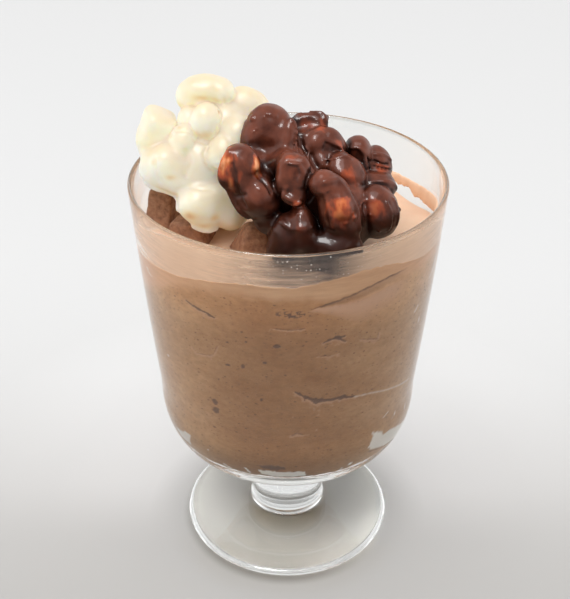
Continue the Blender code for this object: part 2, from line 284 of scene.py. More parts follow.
# The lower edge of the smooth, paler band under the surface: angle, height.
BAND = ((-170.0, 90.0), (-161.0, 93.5), (-137.0, 101.9), (-120.0, 106.0), (-104.0, 106.4), (-83.0, 105.9),
        (-73.0, 105.0), (-54.0, 106.1), (-41.0, 105.7), (-31.0, 105.0), (-15.0, 103.5), (0.0, 101.5))
BAND_EDGE = (-2.2, 1.0)         # heights from there over which it appears
# Cracks in the mousse against the wall, with shade painted in them: points of (angle, height, half width),
# darkness.
CRACKS = (
    (((-87.1, 75.9, 0.25), (-81.1, 73.1, 0.55), (-77.5, 72.2, 0.85), (-73.5, 72.0, 0.6),
      (-68.7, 71.9, 0.42), (-62.5, 71.0, 0.28)), 1.0),
    (((-50.5, 46.9, 0.2), (-43.6, 45.5, 0.25), (-37.1, 44.2, 0.28), (-23.1, 42.5, 0.2)), 0.6),
    (((-129.4, 99.4, 0.2), (-125.0, 98.3, 0.3), (-121.0, 98.0, 0.38), (-117.0, 97.1, 0.25)), 0.95),
    (((-129.0, 84.5, 0.18), (-127.0, 83.1, 0.22), (-121.0, 84.0, 0.22), (-119.0, 84.9, 0.22),
      (-117.0, 88.0, 0.18)), 0.45),
    (((-77.0, 91.6, 0.2), (-75.0, 92.2, 0.32), (-72.0, 92.6, 0.4), (-68.6, 90.9, 0.24)), 1.0),
    (((-72.0, 92.6, 0.3), (-68.8, 92.6, 0.2)), 0.9),
    (((-62.0, 90.3, 0.18), (-58.0, 89.3, 0.24), (-55.0, 88.6, 0.24), (-54.0, 90.6, 0.18)), 0.5),
    (((-95.4, 96.6, 0.15), (-90.0, 96.2, 0.2), (-84.0, 96.6, 0.15)), 0.55),
    (((-79.0, 87.4, 0.15), (-75.0, 87.0, 0.2), (-71.0, 87.4, 0.15)), 0.45),
    (((-88.0, 60.2, 0.3), (-86.0, 61.0, 0.4), (-83.6, 60.4, 0.3)), 0.5),
)
# Pits against the wall, with shade painted in them: angle, height, half width, half height, darkness.
PITS = (
    (-94.0, 91.0, 0.85, 0.55, 1.0), (-98.5, 85.5, 0.5, 0.4, 1.0),
    (-113.2, 82.6, 0.65, 0.35, 0.9), (-107.0, 83.2, 0.5, 0.7, 0.8),
    (-112.6, 90.2, 0.35, 0.25, 0.8), (-106.7, 94.5, 0.35, 0.3, 0.8),
    (-105.3, 91.6, 0.3, 0.3, 0.8), (-84.4, 91.2, 0.3, 0.22, 0.8),
    (-98.0, 80.8, 0.3, 0.22, 0.8), (-100.3, 72.5, 0.3, 0.5, 0.9),
    (-112.0, 75.6, 0.22, 0.3, 0.8), (-117.8, 76.8, 0.25, 0.25, 0.8),
    (-120.8, 68.2, 0.7, 0.9, 0.8), (-120.6, 65.0, 1.1, 0.9, 0.8),
    (-122.5, 58.3, 0.6, 0.3, 0.8), (-76.6, 54.4, 0.35, 0.3, 0.9),
    (-96.6, 47.4, 3.5, 0.9, 0.8),
)
# Pockets of air against the glass, where the mousse is painted pale as their reflection: outlines of (angle,
# height), and how pale.
POCKETS = (
    (((-51.0, 48.8), (-50.0, 50.7), (-49.5, 52.7), (-50.5, 54.3), (-47.0, 53.4), (-43.3, 52.3), (-43.5, 51.6),
      (-42.6, 50.4), (-40.2, 50.5), (-37.2, 50.4), (-27.6, 48.3), (-20.0, 46.5), (-16.0, 43.5), (-23.1, 43.0),
      (-37.1, 44.7), (-43.6, 46.0), (-48.8, 47.4)), 0.85),
    (((-153.0, 47.3), (-148.5, 47.4), (-141.4, 49.8), (-138.8, 49.6), (-143.1, 44.3), (-146.0, 44.8),
      (-151.2, 44.8)), 0.8),
    (((-103.4, 45.7), (-94.4, 45.6), (-81.7, 45.6), (-80.7, 43.2), (-88.4, 42.9), (-98.0, 42.9),
      (-102.7, 43.9)), 0.9),
)
# Thin streaks and spots painted pale as reflections: points of (angle, height, half width), and how pale.
PALE_STREAKS = (
    (((-121.8, 43.9, 0.4), (-119.2, 42.8, 0.4)), 0.9), (((-128.7, 48.0, 0.22), (-128.3, 47.8, 0.22)), 0.8),
    (((-109.9, 45.2, 0.4), (-108.6, 43.4, 0.4)), 0.9), (((-62.7, 43.5, 0.3), (-62.3, 43.3, 0.3)), 0.8),
    (((-58.9, 44.5, 0.5), (-58.4, 44.4, 0.5)), 1.0), (((-40.9, 58.7, 0.14), (-44.1, 57.6, 0.14)), 0.7),
    (((-35.2, 55.8, 0.16), (-37.6, 53.9, 0.16)), 0.7), (((-25.0, 54.1, 0.2), (-24.3, 51.6, 0.2)), 0.6),
    (((-62.5, 70.9, 0.2), (-54.6, 70.1, 0.28), (-42.0, 67.5, 0.3), (-27.0, 64.5, 0.3)), 0.3),
    (((-147.0, 75.4, 0.25), (-146.4, 75.2, 0.25)), 0.8),
    (((-153.6, 100.9, 0.5), (-152.6, 100.1, 0.3), (-149.5, 99.6, 0.15)), 0.6),
    (((-27.9, 85.9, 0.3), (-27.4, 84.6, 0.3)), 0.5), (((-31.6, 91.4, 0.3), (-33.4, 90.2, 0.3)), 0.5),
    (((-20.0, 102.5, 0.6), (-19.0, 100.0, 0.9), (-23.2, 97.5, 0.5)), 0.3),
)
# Where the edges of these marks begin and are full, in half widths, and in millimetres for a pocket;
# and the same for the pink painted highlight below a crack.
CRACK_EDGE = (1.6, 0.4)
PIT_EDGE = (1.25, 0.6)
STREAK_EDGE = (1.3, 0.7)
POCKET_EDGE = (-0.15, 0.15)
PINK_EDGE = (3.6, 1.2)
# The long fold under the rim, where the mousse below is drawn back from the glass: its upper edge.
FOLD = ((-83.5, 102.4), (-79.0, 103.3), (-74.0, 104.2), (-69.6, 104.9), (-64.0, 105.9), (-58.5, 106.9),
        (-52.0, 107.6))
FOLD_STARTS = (-84.0, -79.0)    # angles over which it grows from nothing,
FOLD_ENDS = (-38.0, -52.0)      # fades away, seen from its end,
FOLD_WIDENS = (-83.0, -60.0)    # and widens
FOLD_WIDTH = (0.5, 3.4)         # from this to this
# The crumpled patch beside it, with shade painted in it: angle, height, half width in degrees, half height.
CRUMPLED = (-88.0, 101.0, 10.0, 1.6)


def mousse_angles():
    """Angles round the mousse, closest together at the front."""
    turn = np.arange(MOUSSE_SEGMENTS) * 2 * math.pi / MOUSSE_SEGMENTS
    return turn - FRONT_DENSITY * np.sin(turn) - 0.5 * math.pi


def surface_height(radius, turn):
    """Height of the mousse's open surface."""
    x, y = radius * np.cos(turn), radius * np.sin(turn)
    height = MOUSSE_LEVEL + (MOUSSE_TILT[0] * x + MOUSSE_TILT[1] * y) / RIM_RADIUS
    for middle, width, depth in MOUSSE_DIPS:
        aside = (np.degrees(turn) - middle + 180.0) % 360.0 - 180.0
        height = height - depth * (radius / RIM_RADIUS) ** 2 * np.exp(-(aside / width) ** 2)
    away = np.hypot(x - MOUND_PLACE[0], y - MOUND_PLACE[1])
    return height + MOUND_RISE * np.exp(-(away / MOUND_REACH) ** 2)


def near_line(angle, height, first, last):
    """Distance in millimetres along the wall to a line, and the share of the line up to there."""
    du, dz = (last[0] - first[0]) * DEGREE, last[1] - first[1]
    u, z = (angle - first[0]) * DEGREE, height - first[1]
    share = np.clip((u * du + z * dz) / (du * du + dz * dz), 0.0, 1.0)
    return np.hypot(u - share * du, z - share * dz), share


def near_path(angle, height, path):
    """Distance along the wall to a path of (angle, height, half width), over its half width."""
    nearest = np.full(angle.shape, np.inf)
    for first, last in zip(path, path[1:]):
        away, share = near_line(angle, height, first, last)
        nearest = np.minimum(nearest, away / between(first[2], last[2], share))
    return nearest


def inside_outline(angle, height, outline):
    """Distance in millimetres along the wall to an outline of (angle, height), positive inside it."""
    nearest = np.full(angle.shape, np.inf)
    inside = np.zeros(angle.shape, bool)
    for first, last in zip(outline, outline[1:] + outline[:1]):
        nearest = np.minimum(nearest, near_line(angle, height, first, last)[0])
        low, high = first[1], last[1]
        if low != high:
            crossing = between(first[0], last[0], (height - low) / (high - low))
            inside ^= ((height > low) != (height > high)) & (angle < crossing)
    return np.where(inside, nearest, -nearest)


def cracks_and_pits(angle, height, ragged):
    """How sunk the mousse is by its cracks and pits, how dark their painted shade is, and how pink the
    painted highlight below a crack is.
    """
    sunk, dark, pink_highlight = (np.zeros(angle.shape) for _ in range(3))
    marks = []
    for path, darkness in CRACKS:
        away = near_path(angle, height, path) * (1.0 + 0.9 * ragged)
        marks.append((smooth_step(*CRACK_EDGE, away), darkness))
        below = height < read(path, angle)
        pink_highlight = np.maximum(pink_highlight, 0.5 * smooth_step(*PINK_EDGE, away) * below)
    for middle, level, wide, high, darkness in PITS:
        away = np.hypot((angle - middle) * DEGREE / wide, (height - level) / high) / 1.3
        marks.append((smooth_step(*PIT_EDGE, away + 0.4 * ragged), darkness))
    for share, darkness in marks:
        sunk = np.maximum(sunk, share)
        dark = np.maximum(dark, darkness * share)
    return sunk, dark, pink_highlight


def painted_reflection(angle, height, ragged):
    """How pale the mousse is painted as the reflection of the air against the glass."""
    pale_reflection = np.zeros(angle.shape)
    for outline, strength in POCKETS:
        inside = inside_outline(angle, height, outline) + 0.35 * ragged
        pale_reflection = np.maximum(pale_reflection, strength * smooth_step(*POCKET_EDGE, inside))
    for path, strength in PALE_STREAKS:
        away = near_path(angle, height, path) * (1.0 + 0.35 * ragged)
        pale_reflection = np.maximum(pale_reflection, strength * smooth_step(*STREAK_EDGE, away))
    return pale_reflection


def fold(angle, height, ragged):
    """How tucked the mousse is by its long fold, how dark its painted shade is, and how pink the painted
    highlight below it is.
    """
    along = smooth_step(*FOLD_STARTS, angle) * smooth_step(*FOLD_ENDS, angle)
    below = read(FOLD, angle) - height + 0.25 * ragged
    wide = between(*FOLD_WIDTH, smooth_step(*FOLD_WIDENS, angle))
    tucked = along * smooth_step(-0.1, 0.2, below) * smooth_step(wide, 0.6 * wide, below)
    dark = tucked * (0.38 + 0.5 * smooth_step(0.9, 0.1, below))
    under = smooth_step(0.6 * wide, 1.2 * wide, below) * smooth_step(3.6 * wide, 1.4 * wide, below)
    return tucked, dark, along * under


def crumpled_patch(angle, height, points):
    """Where the mousse is crumpled under the rim."""
    middle, level, wide, high = CRUMPLED
    near = smooth_step(1.0, 0.4, np.hypot((angle - middle) / wide, (height - level) / high))
    return near * smooth_step(0.0, 0.2, bumps(points * np.array((1.0, 1.0, 1.6)), 1.0, 2, shift=21.0))


def wall_relief(angle, height, points):
    """How far the mousse is drawn back from the glass, and its painted shade, pale painted reflection and
    pink painted highlight there.
    """
    ragged = bumps(points, 1.3, 3)
    sunk, dark, pink_highlight = cracks_and_pits(angle, height, ragged)
    pale_reflection = painted_reflection(angle, height, ragged)
    tucked, shaded, fold_highlight = fold(angle, height, ragged)
    crumpled = crumpled_patch(angle, height, points)
    # Painted shade of the cracks, pits, fold and crumples, less where a pale reflection is painted.
    dark = np.maximum(np.maximum(dark * (1.0 - pale_reflection), shaded), 0.95 * crumpled)
    back = FLUSH * np.maximum(np.maximum(sunk, tucked), crumpled)
    return back, dark, pale_reflection, np.maximum(pink_highlight, fold_highlight)


def mousse_rows(angles, edge_radius, climb):
    """Radius and height of the mousse's rings from the bottom up, and how many lie on the glass."""
    edge_height = surface_height(edge_radius, angles) + climb
    rows = []
    for radius, height in bottom_rows(WALL, INNER_BOTTOM, INNER_ROUNDNESS, BOTTOM_STEPS)[::-1][1:]:
        rows.append((np.full(len(angles), radius + IN_GLASS), np.full(len(angles), height)))
    for i in range(SIDE_STEPS + 1):
        height = between(SHOULDER_HEIGHT, edge_height, i / SIDE_STEPS)
        rows.append((inner_radius(height) + IN_GLASS, height))
    wall_rings = len(rows)
    top_radius = rows[-1][0]
    for i in range(1, TOP_STEPS):
        radius = top_radius * (1 - (i / TOP_STEPS) ** 1.6)
        rise = climb * np.exp(-(edge_radius - radius) / CLIMB_REACH)
        rows.append((radius, surface_height(radius, angles) + rise))
    radius, height = np.array(rows).transpose(1, 0, 2)
    return radius, height, wall_rings


def make_mousse():
    """The mousse: its bottom, its side against the glass, and its open surface."""
    angles = mousse_angles()
    degrees = np.degrees((angles + math.pi) % (2 * math.pi) - math.pi)
    edge_radius = inner_radius(MOUSSE_LEVEL) + IN_GLASS
    uneven = bumps(turned(edge_radius, angles, 0.0), 2.5, 3, shift=31.0)
    climb = read(CLIMB, degrees) * (1.0 + CLIMB_UNEVEN * uneven)
    radius, height, wall_rings = mousse_rows(angles, edge_radius, climb)
    shape = radius.shape
    angle = np.broadcast_to(degrees, shape)
    flat = turned(radius, angles, height).reshape(-1, 3)
    on_wall = np.zeros(shape)
    on_wall[:wall_rings] = 1.0
    top = 1.0 - on_wall
    relief = wall_relief(angle.ravel(), height.ravel(), flat)
    back, dark, pale_reflection, pink_highlight = (part.reshape(shape) * on_wall for part in relief)
    ragged = bumps(flat, 4.0, 3, shift=7.0).reshape(shape)
    band = smooth_step(*BAND_EDGE, height - read(BAND, angle) + 0.9 * ragged)
    gap = GAP_DEPTH * smooth_step(GAP_LEVEL + GAP_EDGE, GAP_LEVEL - GAP_EDGE, height + 0.5 * ragged)
    low = height < SHOULDER_HEIGHT
    drawn = np.maximum(back, gap) * on_wall
    radius = np.where(low, radius - drawn * radius / SHOULDER_RADIUS, radius - drawn)
    height = np.where(low, height + drawn * (1 - (radius / SHOULDER_RADIUS) ** 4), height)
    aside = angle - LEAST_PALE
    aside = np.where(aside > 0.0, RIGHT_PACE * aside, -aside)
    # On its side the mousse gets painted shade in its marks, pale painted reflections, pink painted
    # highlights, its paler band, painted side light and painted light towards the top.
    paint = {"dark": dark, "pale_reflection": pale_reflection, "pink_highlight": pink_highlight, "band": band * on_wall,
             "light": smooth_step(*PAINTED_SIDELIGHT, aside) * on_wall,
             "upper": smooth_step(*PAINTED_UPPER_LIGHT, height) * on_wall, "open_top": top}
    swell = 0.5 * bumps(flat, 9.0, 3, shift=3.0).reshape(shape) + 0.12 * ragged
    height = height + top * swell * smooth_step(0.0, 3.0, edge_radius - radius)
    first = [(0.0, 0.0, INNER_BOTTOM + GAP_DEPTH)]
    last = [(0.0, 0.0, float(surface_height(0.0, 0.0)))]
    points = np.concatenate([first, turned(radius, angles, height).reshape(-1, 3), last])
    faces = ring_faces(len(radius), len(angles))
    mousse = new_piece("chocolate_mousse", points, faces, mousse_material(), "mousse")
    for name, values in paint.items():
        add_values(mousse, name, np.concatenate([[0.0], values.ravel(), values[-1, :1]]))


# ------------ mousse left on the glass

FILM_IN_GLASS = 0.1             # how far what sticks to the glass reaches into it
FILM_THICKNESS, SMEAR_THICKNESS, LEAST_THICKNESS = 0.06, 0.55, 0.02
FILM_STEPS, SMEAR_STEPS = 44, 14                # up the glass
FILM_TURN, SMEAR_TURN = 0.5, 0.4                # degrees from one column of points to the next
# The thin film above the surface at the front: angle, highest, how much it covers, how dark its painted
# shadow is.
FILM = ((-178.0, 107.0, 0.0, 0.0), (-168.0, 111.0, 0.2, 0.0), (-157.0, 114.0, 0.5, 0.0),
        (-146.0, 115.6, 0.6, 0.0), (-136.0, 117.0, 1.0, 0.0), (-125.0, 117.4, 1.05, 0.0),
        (-113.0, 117.6, 0.7, 0.0), (-102.0, 117.6, 0.5, 0.45), (-92.0, 117.6, 0.56, 0.9),
        (-76.0, 117.6, 0.58, 1.0), (-66.0, 117.6, 0.7, 0.4), (-54.0, 117.6, 1.0, 0.1),
        (-44.0, 117.6, 1.05, 0.0), (-30.0, 116.6, 0.85, 0.0), (-16.0, 114.0, 0.45, 0.0),
        (-4.0, 111.0, 0.0, 0.0))
# The smear on the back right of the glass: angle, lower edge, upper edge.
SMEAR = ((-4.0, 108.2, 108.4), (2.3, 106.8, 110.6), (9.9, 105.5, 109.9), (16.9, 104.6, 109.0),
         (19.8, 104.9, 108.7), (23.8, 104.2, 108.3), (25.5, 104.0, 108.1), (29.0, 105.4, 107.8),
         (32.0, 105.1, 107.7), (36.8, 104.4, 107.6), (39.4, 105.0, 107.5), (41.8, 105.6, 107.4),
         (44.0, 107.1, 107.3))


def wall_skin(name, degrees, lowest, highest, thickness, rounded, steps, material):
    """A skin on the inside of the glass, over a span of angles, between two heights at each angle."""
    shares = np.arange(steps + 1) / steps
    swell = (4.0 * shares * (1.0 - shares)) ** 0.5 if rounded else 1.0
    rings = []
    for turn, low, high in zip(np.radians(degrees), lowest, highest):
        height = between(low, high, shares)
        outer = inner_radius(height) + FILM_IN_GLASS
        inner = inner_radius(height) - LEAST_THICKNESS - thickness * swell
        radius = np.concatenate([inner, outer[::-1]])
        rings.append(turned(radius, turn, np.concatenate([height, height[::-1]])))
    points = np.concatenate([[rings[0].mean(0)], *rings, [rings[-1].mean(0)]])
    faces = ring_faces(len(rings), 2 * (steps + 1))
    return new_piece(name, points, faces, material, None)


def make_film():
    """The streaky film that the mousse left on the glass above its surface, at the front."""
    degrees = np.arange(FILM[0][0], FILM[-1][0], FILM_TURN)
    lowest = surface_height(inner_radius(MOUSSE_LEVEL), np.radians(degrees)) - 0.2
    film = wall_skin("mousse_film", degrees, lowest, read(FILM, degrees), FILM_THICKNESS, False,
                     FILM_STEPS, film_material())
    fade = smooth_step(1.0, 0.9, np.arange(FILM_STEPS + 1) / FILM_STEPS)
    fade = np.concatenate([fade, fade[::-1]])
    # How much the film covers, and how dark its painted shadow is.
    for name, column, edge in (("cover", 2, fade), ("painted_shadow", 3, np.ones(len(fade)))):
        values = (read(FILM, degrees, column)[:, None] * edge).ravel()
        add_values(film, name, np.concatenate([values[:1], values, values[-1:]]))


def make_smear():
    """The thick smear on the back right of the glass."""
    degrees = np.arange(SMEAR[0][0], SMEAR[-1][0], SMEAR_TURN)
    rounds = degrees[:, None] * np.array((1.0, 0.0, 0.0))
    highest = read(SMEAR, degrees, 2)
    lowest = np.minimum(read(SMEAR, degrees) + 0.5 * bumps(rounds, 1.6, 3, shift=3.0), highest - 0.1)
    highest = highest + 0.2 * bumps(rounds, 2.4, 3, shift=9.0)
    wall_skin("mousse_smear", degrees, lowest, highest, SMEAR_THICKNESS, True, SMEAR_STEPS,
              smear_material())


# ------------ clusters and chunks

class Shape:
    """A soft solid: signed distances in millimetres, on a grid over a box."""

    MARGIN = 2.0            # room round the box
    FAR = 4.0               # distance where nothing is near
    SPACING = 0.7           # between the points of a settled path

    def __init__(self, low, high, step):
        self.step = step
        self.low = np.array(low) - self.MARGIN
        size = np.ceil((np.array(high) + self.MARGIN - self.low) / step).astype(int) + 1
        self.axes = [self.low[k] + step * np.arange(size[k]) for k in range(3)]
        self.values = np.full(size, self.FAR, np.float32)

    def window(self, centre, reach):
        """The part of the grid within reach of a centre, and its points relative to the centre."""
        spans = []
        for k in range(3):
            first = max(int((centre[k] - reach - self.low[k]) / self.step), 0)
            last = min(int((centre[k] + reach - self.low[k]) / self.step) + 2, self.values.shape[k])
            spans.append(slice(first, max(last, first)))
        x, y, z = (self.axes[k][spans[k]] - centre[k] for k in range(3))
        return tuple(spans), np.stack(np.meshgrid(x, y, z, indexing="ij"), -1)

    def join(self, form, blend, sign=1.0):
        """Adds a form, flowing into what is there; with sign -1, joins it to the space outside."""
        centre, reach, distance = form
        spans, points = self.window(centre, reach + blend)
        old = sign * self.values[spans]
        new = distance(points)
        near = np.maximum(blend - np.abs(old - new), 0.0) / blend
        self.values[spans] = sign * (np.minimum(old, new) - near * near * blend * 0.25)

    def cut(self, form, blend):
        """Takes a form away, with a soft edge."""
        self.join(form, blend, -1.0)

    def ripple(self, size, height, seed):
        """Soft waves all over, of about that size and height in millimetres."""
        weights = []
        for axis in self.axes:
            place = (axis - axis[0]) / size
            cell = place.astype(int)
            t = place - cell
            pulls = ((1 - t) ** 3, 3 * t ** 3 - 6 * t * t + 4, -3 * t ** 3 + 3 * t * t + 3 * t + 1, t ** 3)
            rows = np.zeros((len(axis), cell[-1] + 4))
            for k, pull in enumerate(pulls):
                rows[np.arange(len(axis)), cell + k] = pull / 6
            weights.append(rows)
        knots = np.random.default_rng(seed).uniform(-1.0, 1.0, [rows.shape[1] for rows in weights])
        waves = np.einsum("ai,bj,ck,ijk->abc", *weights, knots, optimize=True)
        self.values += (3.0 * height * waves).astype(np.float32)

    def at(self, points):
        """The distances at points, read between the grid's points."""
        place = (points - self.low) / self.step
        cell = np.clip(np.floor(place).astype(int), 0, np.array(self.values.shape) - 2)
        t = np.clip(place - cell, 0.0, 1.0)
        total = np.zeros(len(points))
        for corner in np.ndindex(2, 2, 2):
            weight = np.where(np.array(corner) == 1, t, 1.0 - t).prod(-1)
            total += weight * self.values[tuple((cell + corner).T)]
        return total

    def settled(self, path):
        """The path with points close together, moved on to the surface."""
        path = np.array(path, float)
        points = [path[0]]
        for first, last in zip(path, path[1:]):
            count = max(int(np.linalg.norm(last - first) / self.SPACING), 1)
            points += [first + (last - first) * k / count for k in range(1, count + 1)]
        points = np.array(points)
        for _ in range(6):
            slope = np.stack([self.at(points + d) - self.at(points - d) for d in np.eye(3) * self.step], -1)
            slope /= np.maximum(np.linalg.norm(slope, axis=-1, keepdims=True), 1e-6)
            points = points - slope * np.clip(self.at(points), -1.5, 1.5)[:, None]
        return points

    def mesh(self):
        """Points and faces of the solid's surface."""
        grid = openvdb.FloatGrid(self.FAR)
        grid.copyFromArray(self.values)
        grid.transform = openvdb.createLinearTransform(voxelSize=self.step)
        points, triangles, quads = grid.convertToPolygons(0.0)
        faces = [tuple(f) for f in quads.tolist()] + [tuple(f) for f in triangles.tolist()]
        return points + self.low, faces


def rotation_by(turns):
    """The rotation for turns about x, y and z in degrees, or for a lean about y alone."""
    turns = turns if isinstance(turns, tuple) else (0, turns, 0)
    return np.array(Euler([math.radians(a) for a in turns]).to_matrix())


def egg(centre, half, turns=0, tip=0.0, bend=0.0, power=2.0):
    """A form like an egg with these half lengths: its centre, its reach and its signed distance.

    It is narrower towards its +z by the share tip, bent towards its +x by bend, rounder than a
    box and squarer than an ellipsoid where power is above 2, and edged where it is below 2.
    """
    rotation = rotation_by(turns)
    half = np.array(half, float)

    def distance(points):
        x, y, z = np.moveaxis(points @ rotation, -1, 0)
        along = np.clip(z / half[2], -1.2, 1.2)
        narrow = 1.0 - tip * along
        away = np.abs(np.stack([(x - bend * along ** 2) / narrow, y / narrow, z], -1))
        near = np.maximum(((away / half) ** power).sum(-1), 1e-6) ** (1.0 / power)
        slope = np.sqrt(((away ** (power - 1.0) / half ** power) ** 2).sum(-1)) * near ** (1.0 - power)
        return (near - 1.0) / np.maximum(slope, 1e-6)
    return centre, float(half.max() * (1.0 + abs(tip)) + abs(bend)), distance


def thread(path, radius):
    """A form like a thread of this radius along a path."""
    path = np.array(path, float)
    centre = 0.5 * (path.min(0) + path.max(0))
    knots = path - centre

    def distance(points):
        nearest = np.full(points.shape[:-1], np.inf)
        for first, last in zip(knots, knots[1:]):
            step = last - first
            share = np.clip(((points - first) @ step) / (step @ step), 0.0, 1.0)
            away = points - first - share[..., None] * step
            nearest = np.minimum(nearest, np.sqrt((away ** 2).sum(-1)))
        return nearest - radius
    return tuple(centre), float(np.abs(knots).max() + radius), distance


def block(centre, half, turns, narrowing, rounding):
    """A form like a block whose top is narrower, with rounded edges."""
    rotation = rotation_by(turns)
    half = np.array(half, float)

    def distance(points):
        local = points @ rotation
        rise = np.clip(0.5 * (local[..., 2] / half[2] + 1.0), 0.0, 1.0)
        share = 1.0 + (narrowing - 1.0) * rise
        room = np.stack([half[0] * share, half[1] * share, np.full(share.shape, half[2])], -1) - rounding
        over = np.abs(local) - room
        outside = np.sqrt((np.maximum(over, 0.0) ** 2).sum(-1))
        return outside + np.minimum(over.max(-1), 0.0) - rounding
    return centre, 1.8 * float(half.max()), distance


# The white cluster's inside, which only fills the gaps between its nuts.
WHITE_CORE = (
    ((-23.0, -7.5, 124.0), (7.6, 6.0, 9.0)),
    ((-16.5, -1.0, 123.0), (8.0, 6.2, 13.0), 8),
    ((-16.5, -1.5, 132.5), (7.0, 5.0, 7.4), 12),
    ((-28.5, -5.5, 127.5), (6.0, 4.4, 6.4)),
    ((-16.0, -4.0, 111.5), (6.6, 5.5, 5.4)),
    ((-21.5, 0.0, 138.5), (3.6, 3.6, 4.0)),
    ((-13.6, -5.6, 130.6), (5.0, 5.6, 7.4), 10),
)
# Its nuts in their coat: blend, centre, half lengths, then lean or turns, tip, bend and power.
WHITE_NUTS = (
    (0.8, (-21.4, 0.6, 143.2), (3.4, 4.2, 6.6), 88, 0.0, 1.3),
    (1.2, (-25.9, 0.2, 140.9), (2.8, 3.6, 3.2), 14),
    (1.2, (-16.8, 0.4, 142.4), (2.7, 3.8, 3.0), -18),
    (0.4, (-20.9, -5.0, 136.2), (3.9, 4.4, 5.2), 6),
    (0.9, (-25.6, -3.4, 136.4), (2.6, 3.2, 3.4), 18),
    (0.5, (-33.6, -2.6, 133.2), (4.3, 4.8, 4.9), (0, 20, 10), 0.0, 0.0, 4.0),
    (1.4, (-35.0, -3.4, 129.8), (4.0, 4.4, 4.0), -16, 0.0, 0.0, 2.6),
    (0.5, (-26.7, -7.4, 131.0), (3.9, 4.5, 5.2), 10, 0.06),
    (1.0, (-30.6, -9.8, 127.0), (4.8, 4.4, 4.8), 22, 0.0, 0.0, 2.3),
    (1.6, (-34.0, -7.4, 126.4), (3.8, 4.0, 4.4), 12),
    (0.7, (-16.4, -8.9, 129.0), (4.5, 4.6, 5.6), 4),
    (1.6, (-12.2, 3.5, 134.2), (7.0, 5.4, 7.8), 28, 0.0, 0.0, 2.3),
    (2.4, (-33.4, -6.5, 121.6), (5.2, 4.8, 2.6), 22),
    (3.0, (-27.6, -9.8, 122.6), (6.6, 5.2, 4.4), 24),
    (1.4, (-21.8, -13.4, 117.8), (6.4, 5.6, 5.4), 16, 0.1, 0.0, 2.3),
    (2.0, (-21.6, -14.4, 113.4), (3.6, 3.6, 2.8), 30),
    (2.4, (-15.0, -12.0, 115.2), (5.0, 5.0, 6.0)),
)
# Creases in it: paths, half width, softness.
WHITE_CREASES = (
    (((-18.2, -4.4, 141.0), (-17.2, -6.4, 139.0), (-17.1, -7.4, 136.4), (-18.2, -8.6, 134.2),
      (-20.8, -9.4, 132.6), (-23.6, -9.6, 133.6)), 0.25, 0.6),
    (((-29.4, -8.6, 133.8), (-28.6, -9.0, 135.2), (-26.4, -9.8, 135.8), (-24.6, -9.6, 135.4)), 0.2, 0.6),
    (((-20.9, -11.4, 133.2), (-21.2, -12.8, 131.4), (-20.9, -13.2, 129.0), (-19.6, -13.8, 127.0),
      (-17.4, -13.8, 125.6)), 0.25, 0.6),
    (((-28.0, -14.2, 122.0), (-24.8, -15.6, 122.6), (-21.4, -16.0, 122.4), (-17.0, -15.2, 121.6)), 0.1, 0.8),
    (((-33.4, -13.4, 129.6), (-33.2, -14.2, 126.4), (-32.4, -14.0, 124.0)), 0.2, 1.2),
    (((-25.4, -12.0, 131.0), (-24.6, -12.4, 128.4), (-25.6, -13.4, 125.6)), 0.25, 1.4),
)
# Drips and set runs on it: paths, half width, softness.
WHITE_THREADS = (
    (((-24.6, -17.2, 111.6), (-22.6, -17.8, 110.8), (-20.4, -17.6, 110.6), (-18.4, -16.6, 110.8)), 0.8, 0.8),
    (((-36.6, -9.4, 120.8), (-33.6, -11.2, 119.2), (-30.2, -12.6, 117.8), (-27.6, -14.4, 116.4)), 0.7, 1.0),
)
# Places where its coat is thin and tan: centre, reach, share.
WHITE_TAN = (
    ((-27.0, -1.6, 139.6), (2.6, 3.0, 2.4), 0.8), ((-22.0, -3.0, 141.6), (4.0, 2.0, 1.4), 0.75),
    ((-16.4, -1.8, 141.4), (1.8, 2.4, 1.6), 0.7), ((-24.0, -2.2, 145.2), (3.6, 3.0, 1.0), 0.45),
    ((-21.2, -8.4, 134.4), (2.8, 2.0, 1.6), 0.85), ((-38.2, -5.4, 131.4), (1.4, 2.6, 2.8), 0.5),
    ((-27.6, -8.6, 136.2), (1.8, 1.6, 1.2), 0.6), ((-34.2, -13.4, 128.6), (1.3, 1.6, 1.1), 0.8),
    ((-29.6, -14.2, 125.2), (2.2, 1.8, 1.1), 0.9), ((-18.2, -13.8, 126.2), (1.7, 1.6, 1.2), 0.9),
    ((-20.8, -12.6, 130.0), (0.7, 1.6, 3.0), 0.5), ((-24.8, -18.4, 116.6), (2.4, 2.0, 2.0), 1.0),
    ((-18.4, -18.6, 115.6), (1.8, 1.8, 1.6), 0.95), ((-21.4, -18.0, 113.2), (3.6, 2.0, 1.6), 0.8),
    ((-26.6, -14.8, 119.0), (1.2, 2.4, 2.8), 0.7), ((-17.6, -5.6, 139.0), (0.8, 0.8, 0.9), 1.0),
)
# The dark cluster's inside, which only fills the gaps between its nuts.
DARK_CORE = (
    ((1.0, -14.0, 122.0), (8.6, 8.0, 10.5)),
    ((12.5, -17.0, 116.0), (10.0, 9.0, 9.8)),
    ((6.5, -7.5, 125.0), (10.0, 5.2, 7.6), 12),
    ((17.5, -11.5, 118.5), (8.5, 6.0, 6.5), 10),
    ((-6.0, -14.0, 128.6), (5.2, 5.4, 4.6)),
    ((-1.0, -16.6, 129.6), (4.6, 4.2, 4.4)),
    ((-11.6, -20.6, 124.6), (3.6, 3.8, 6.6), -16),
)
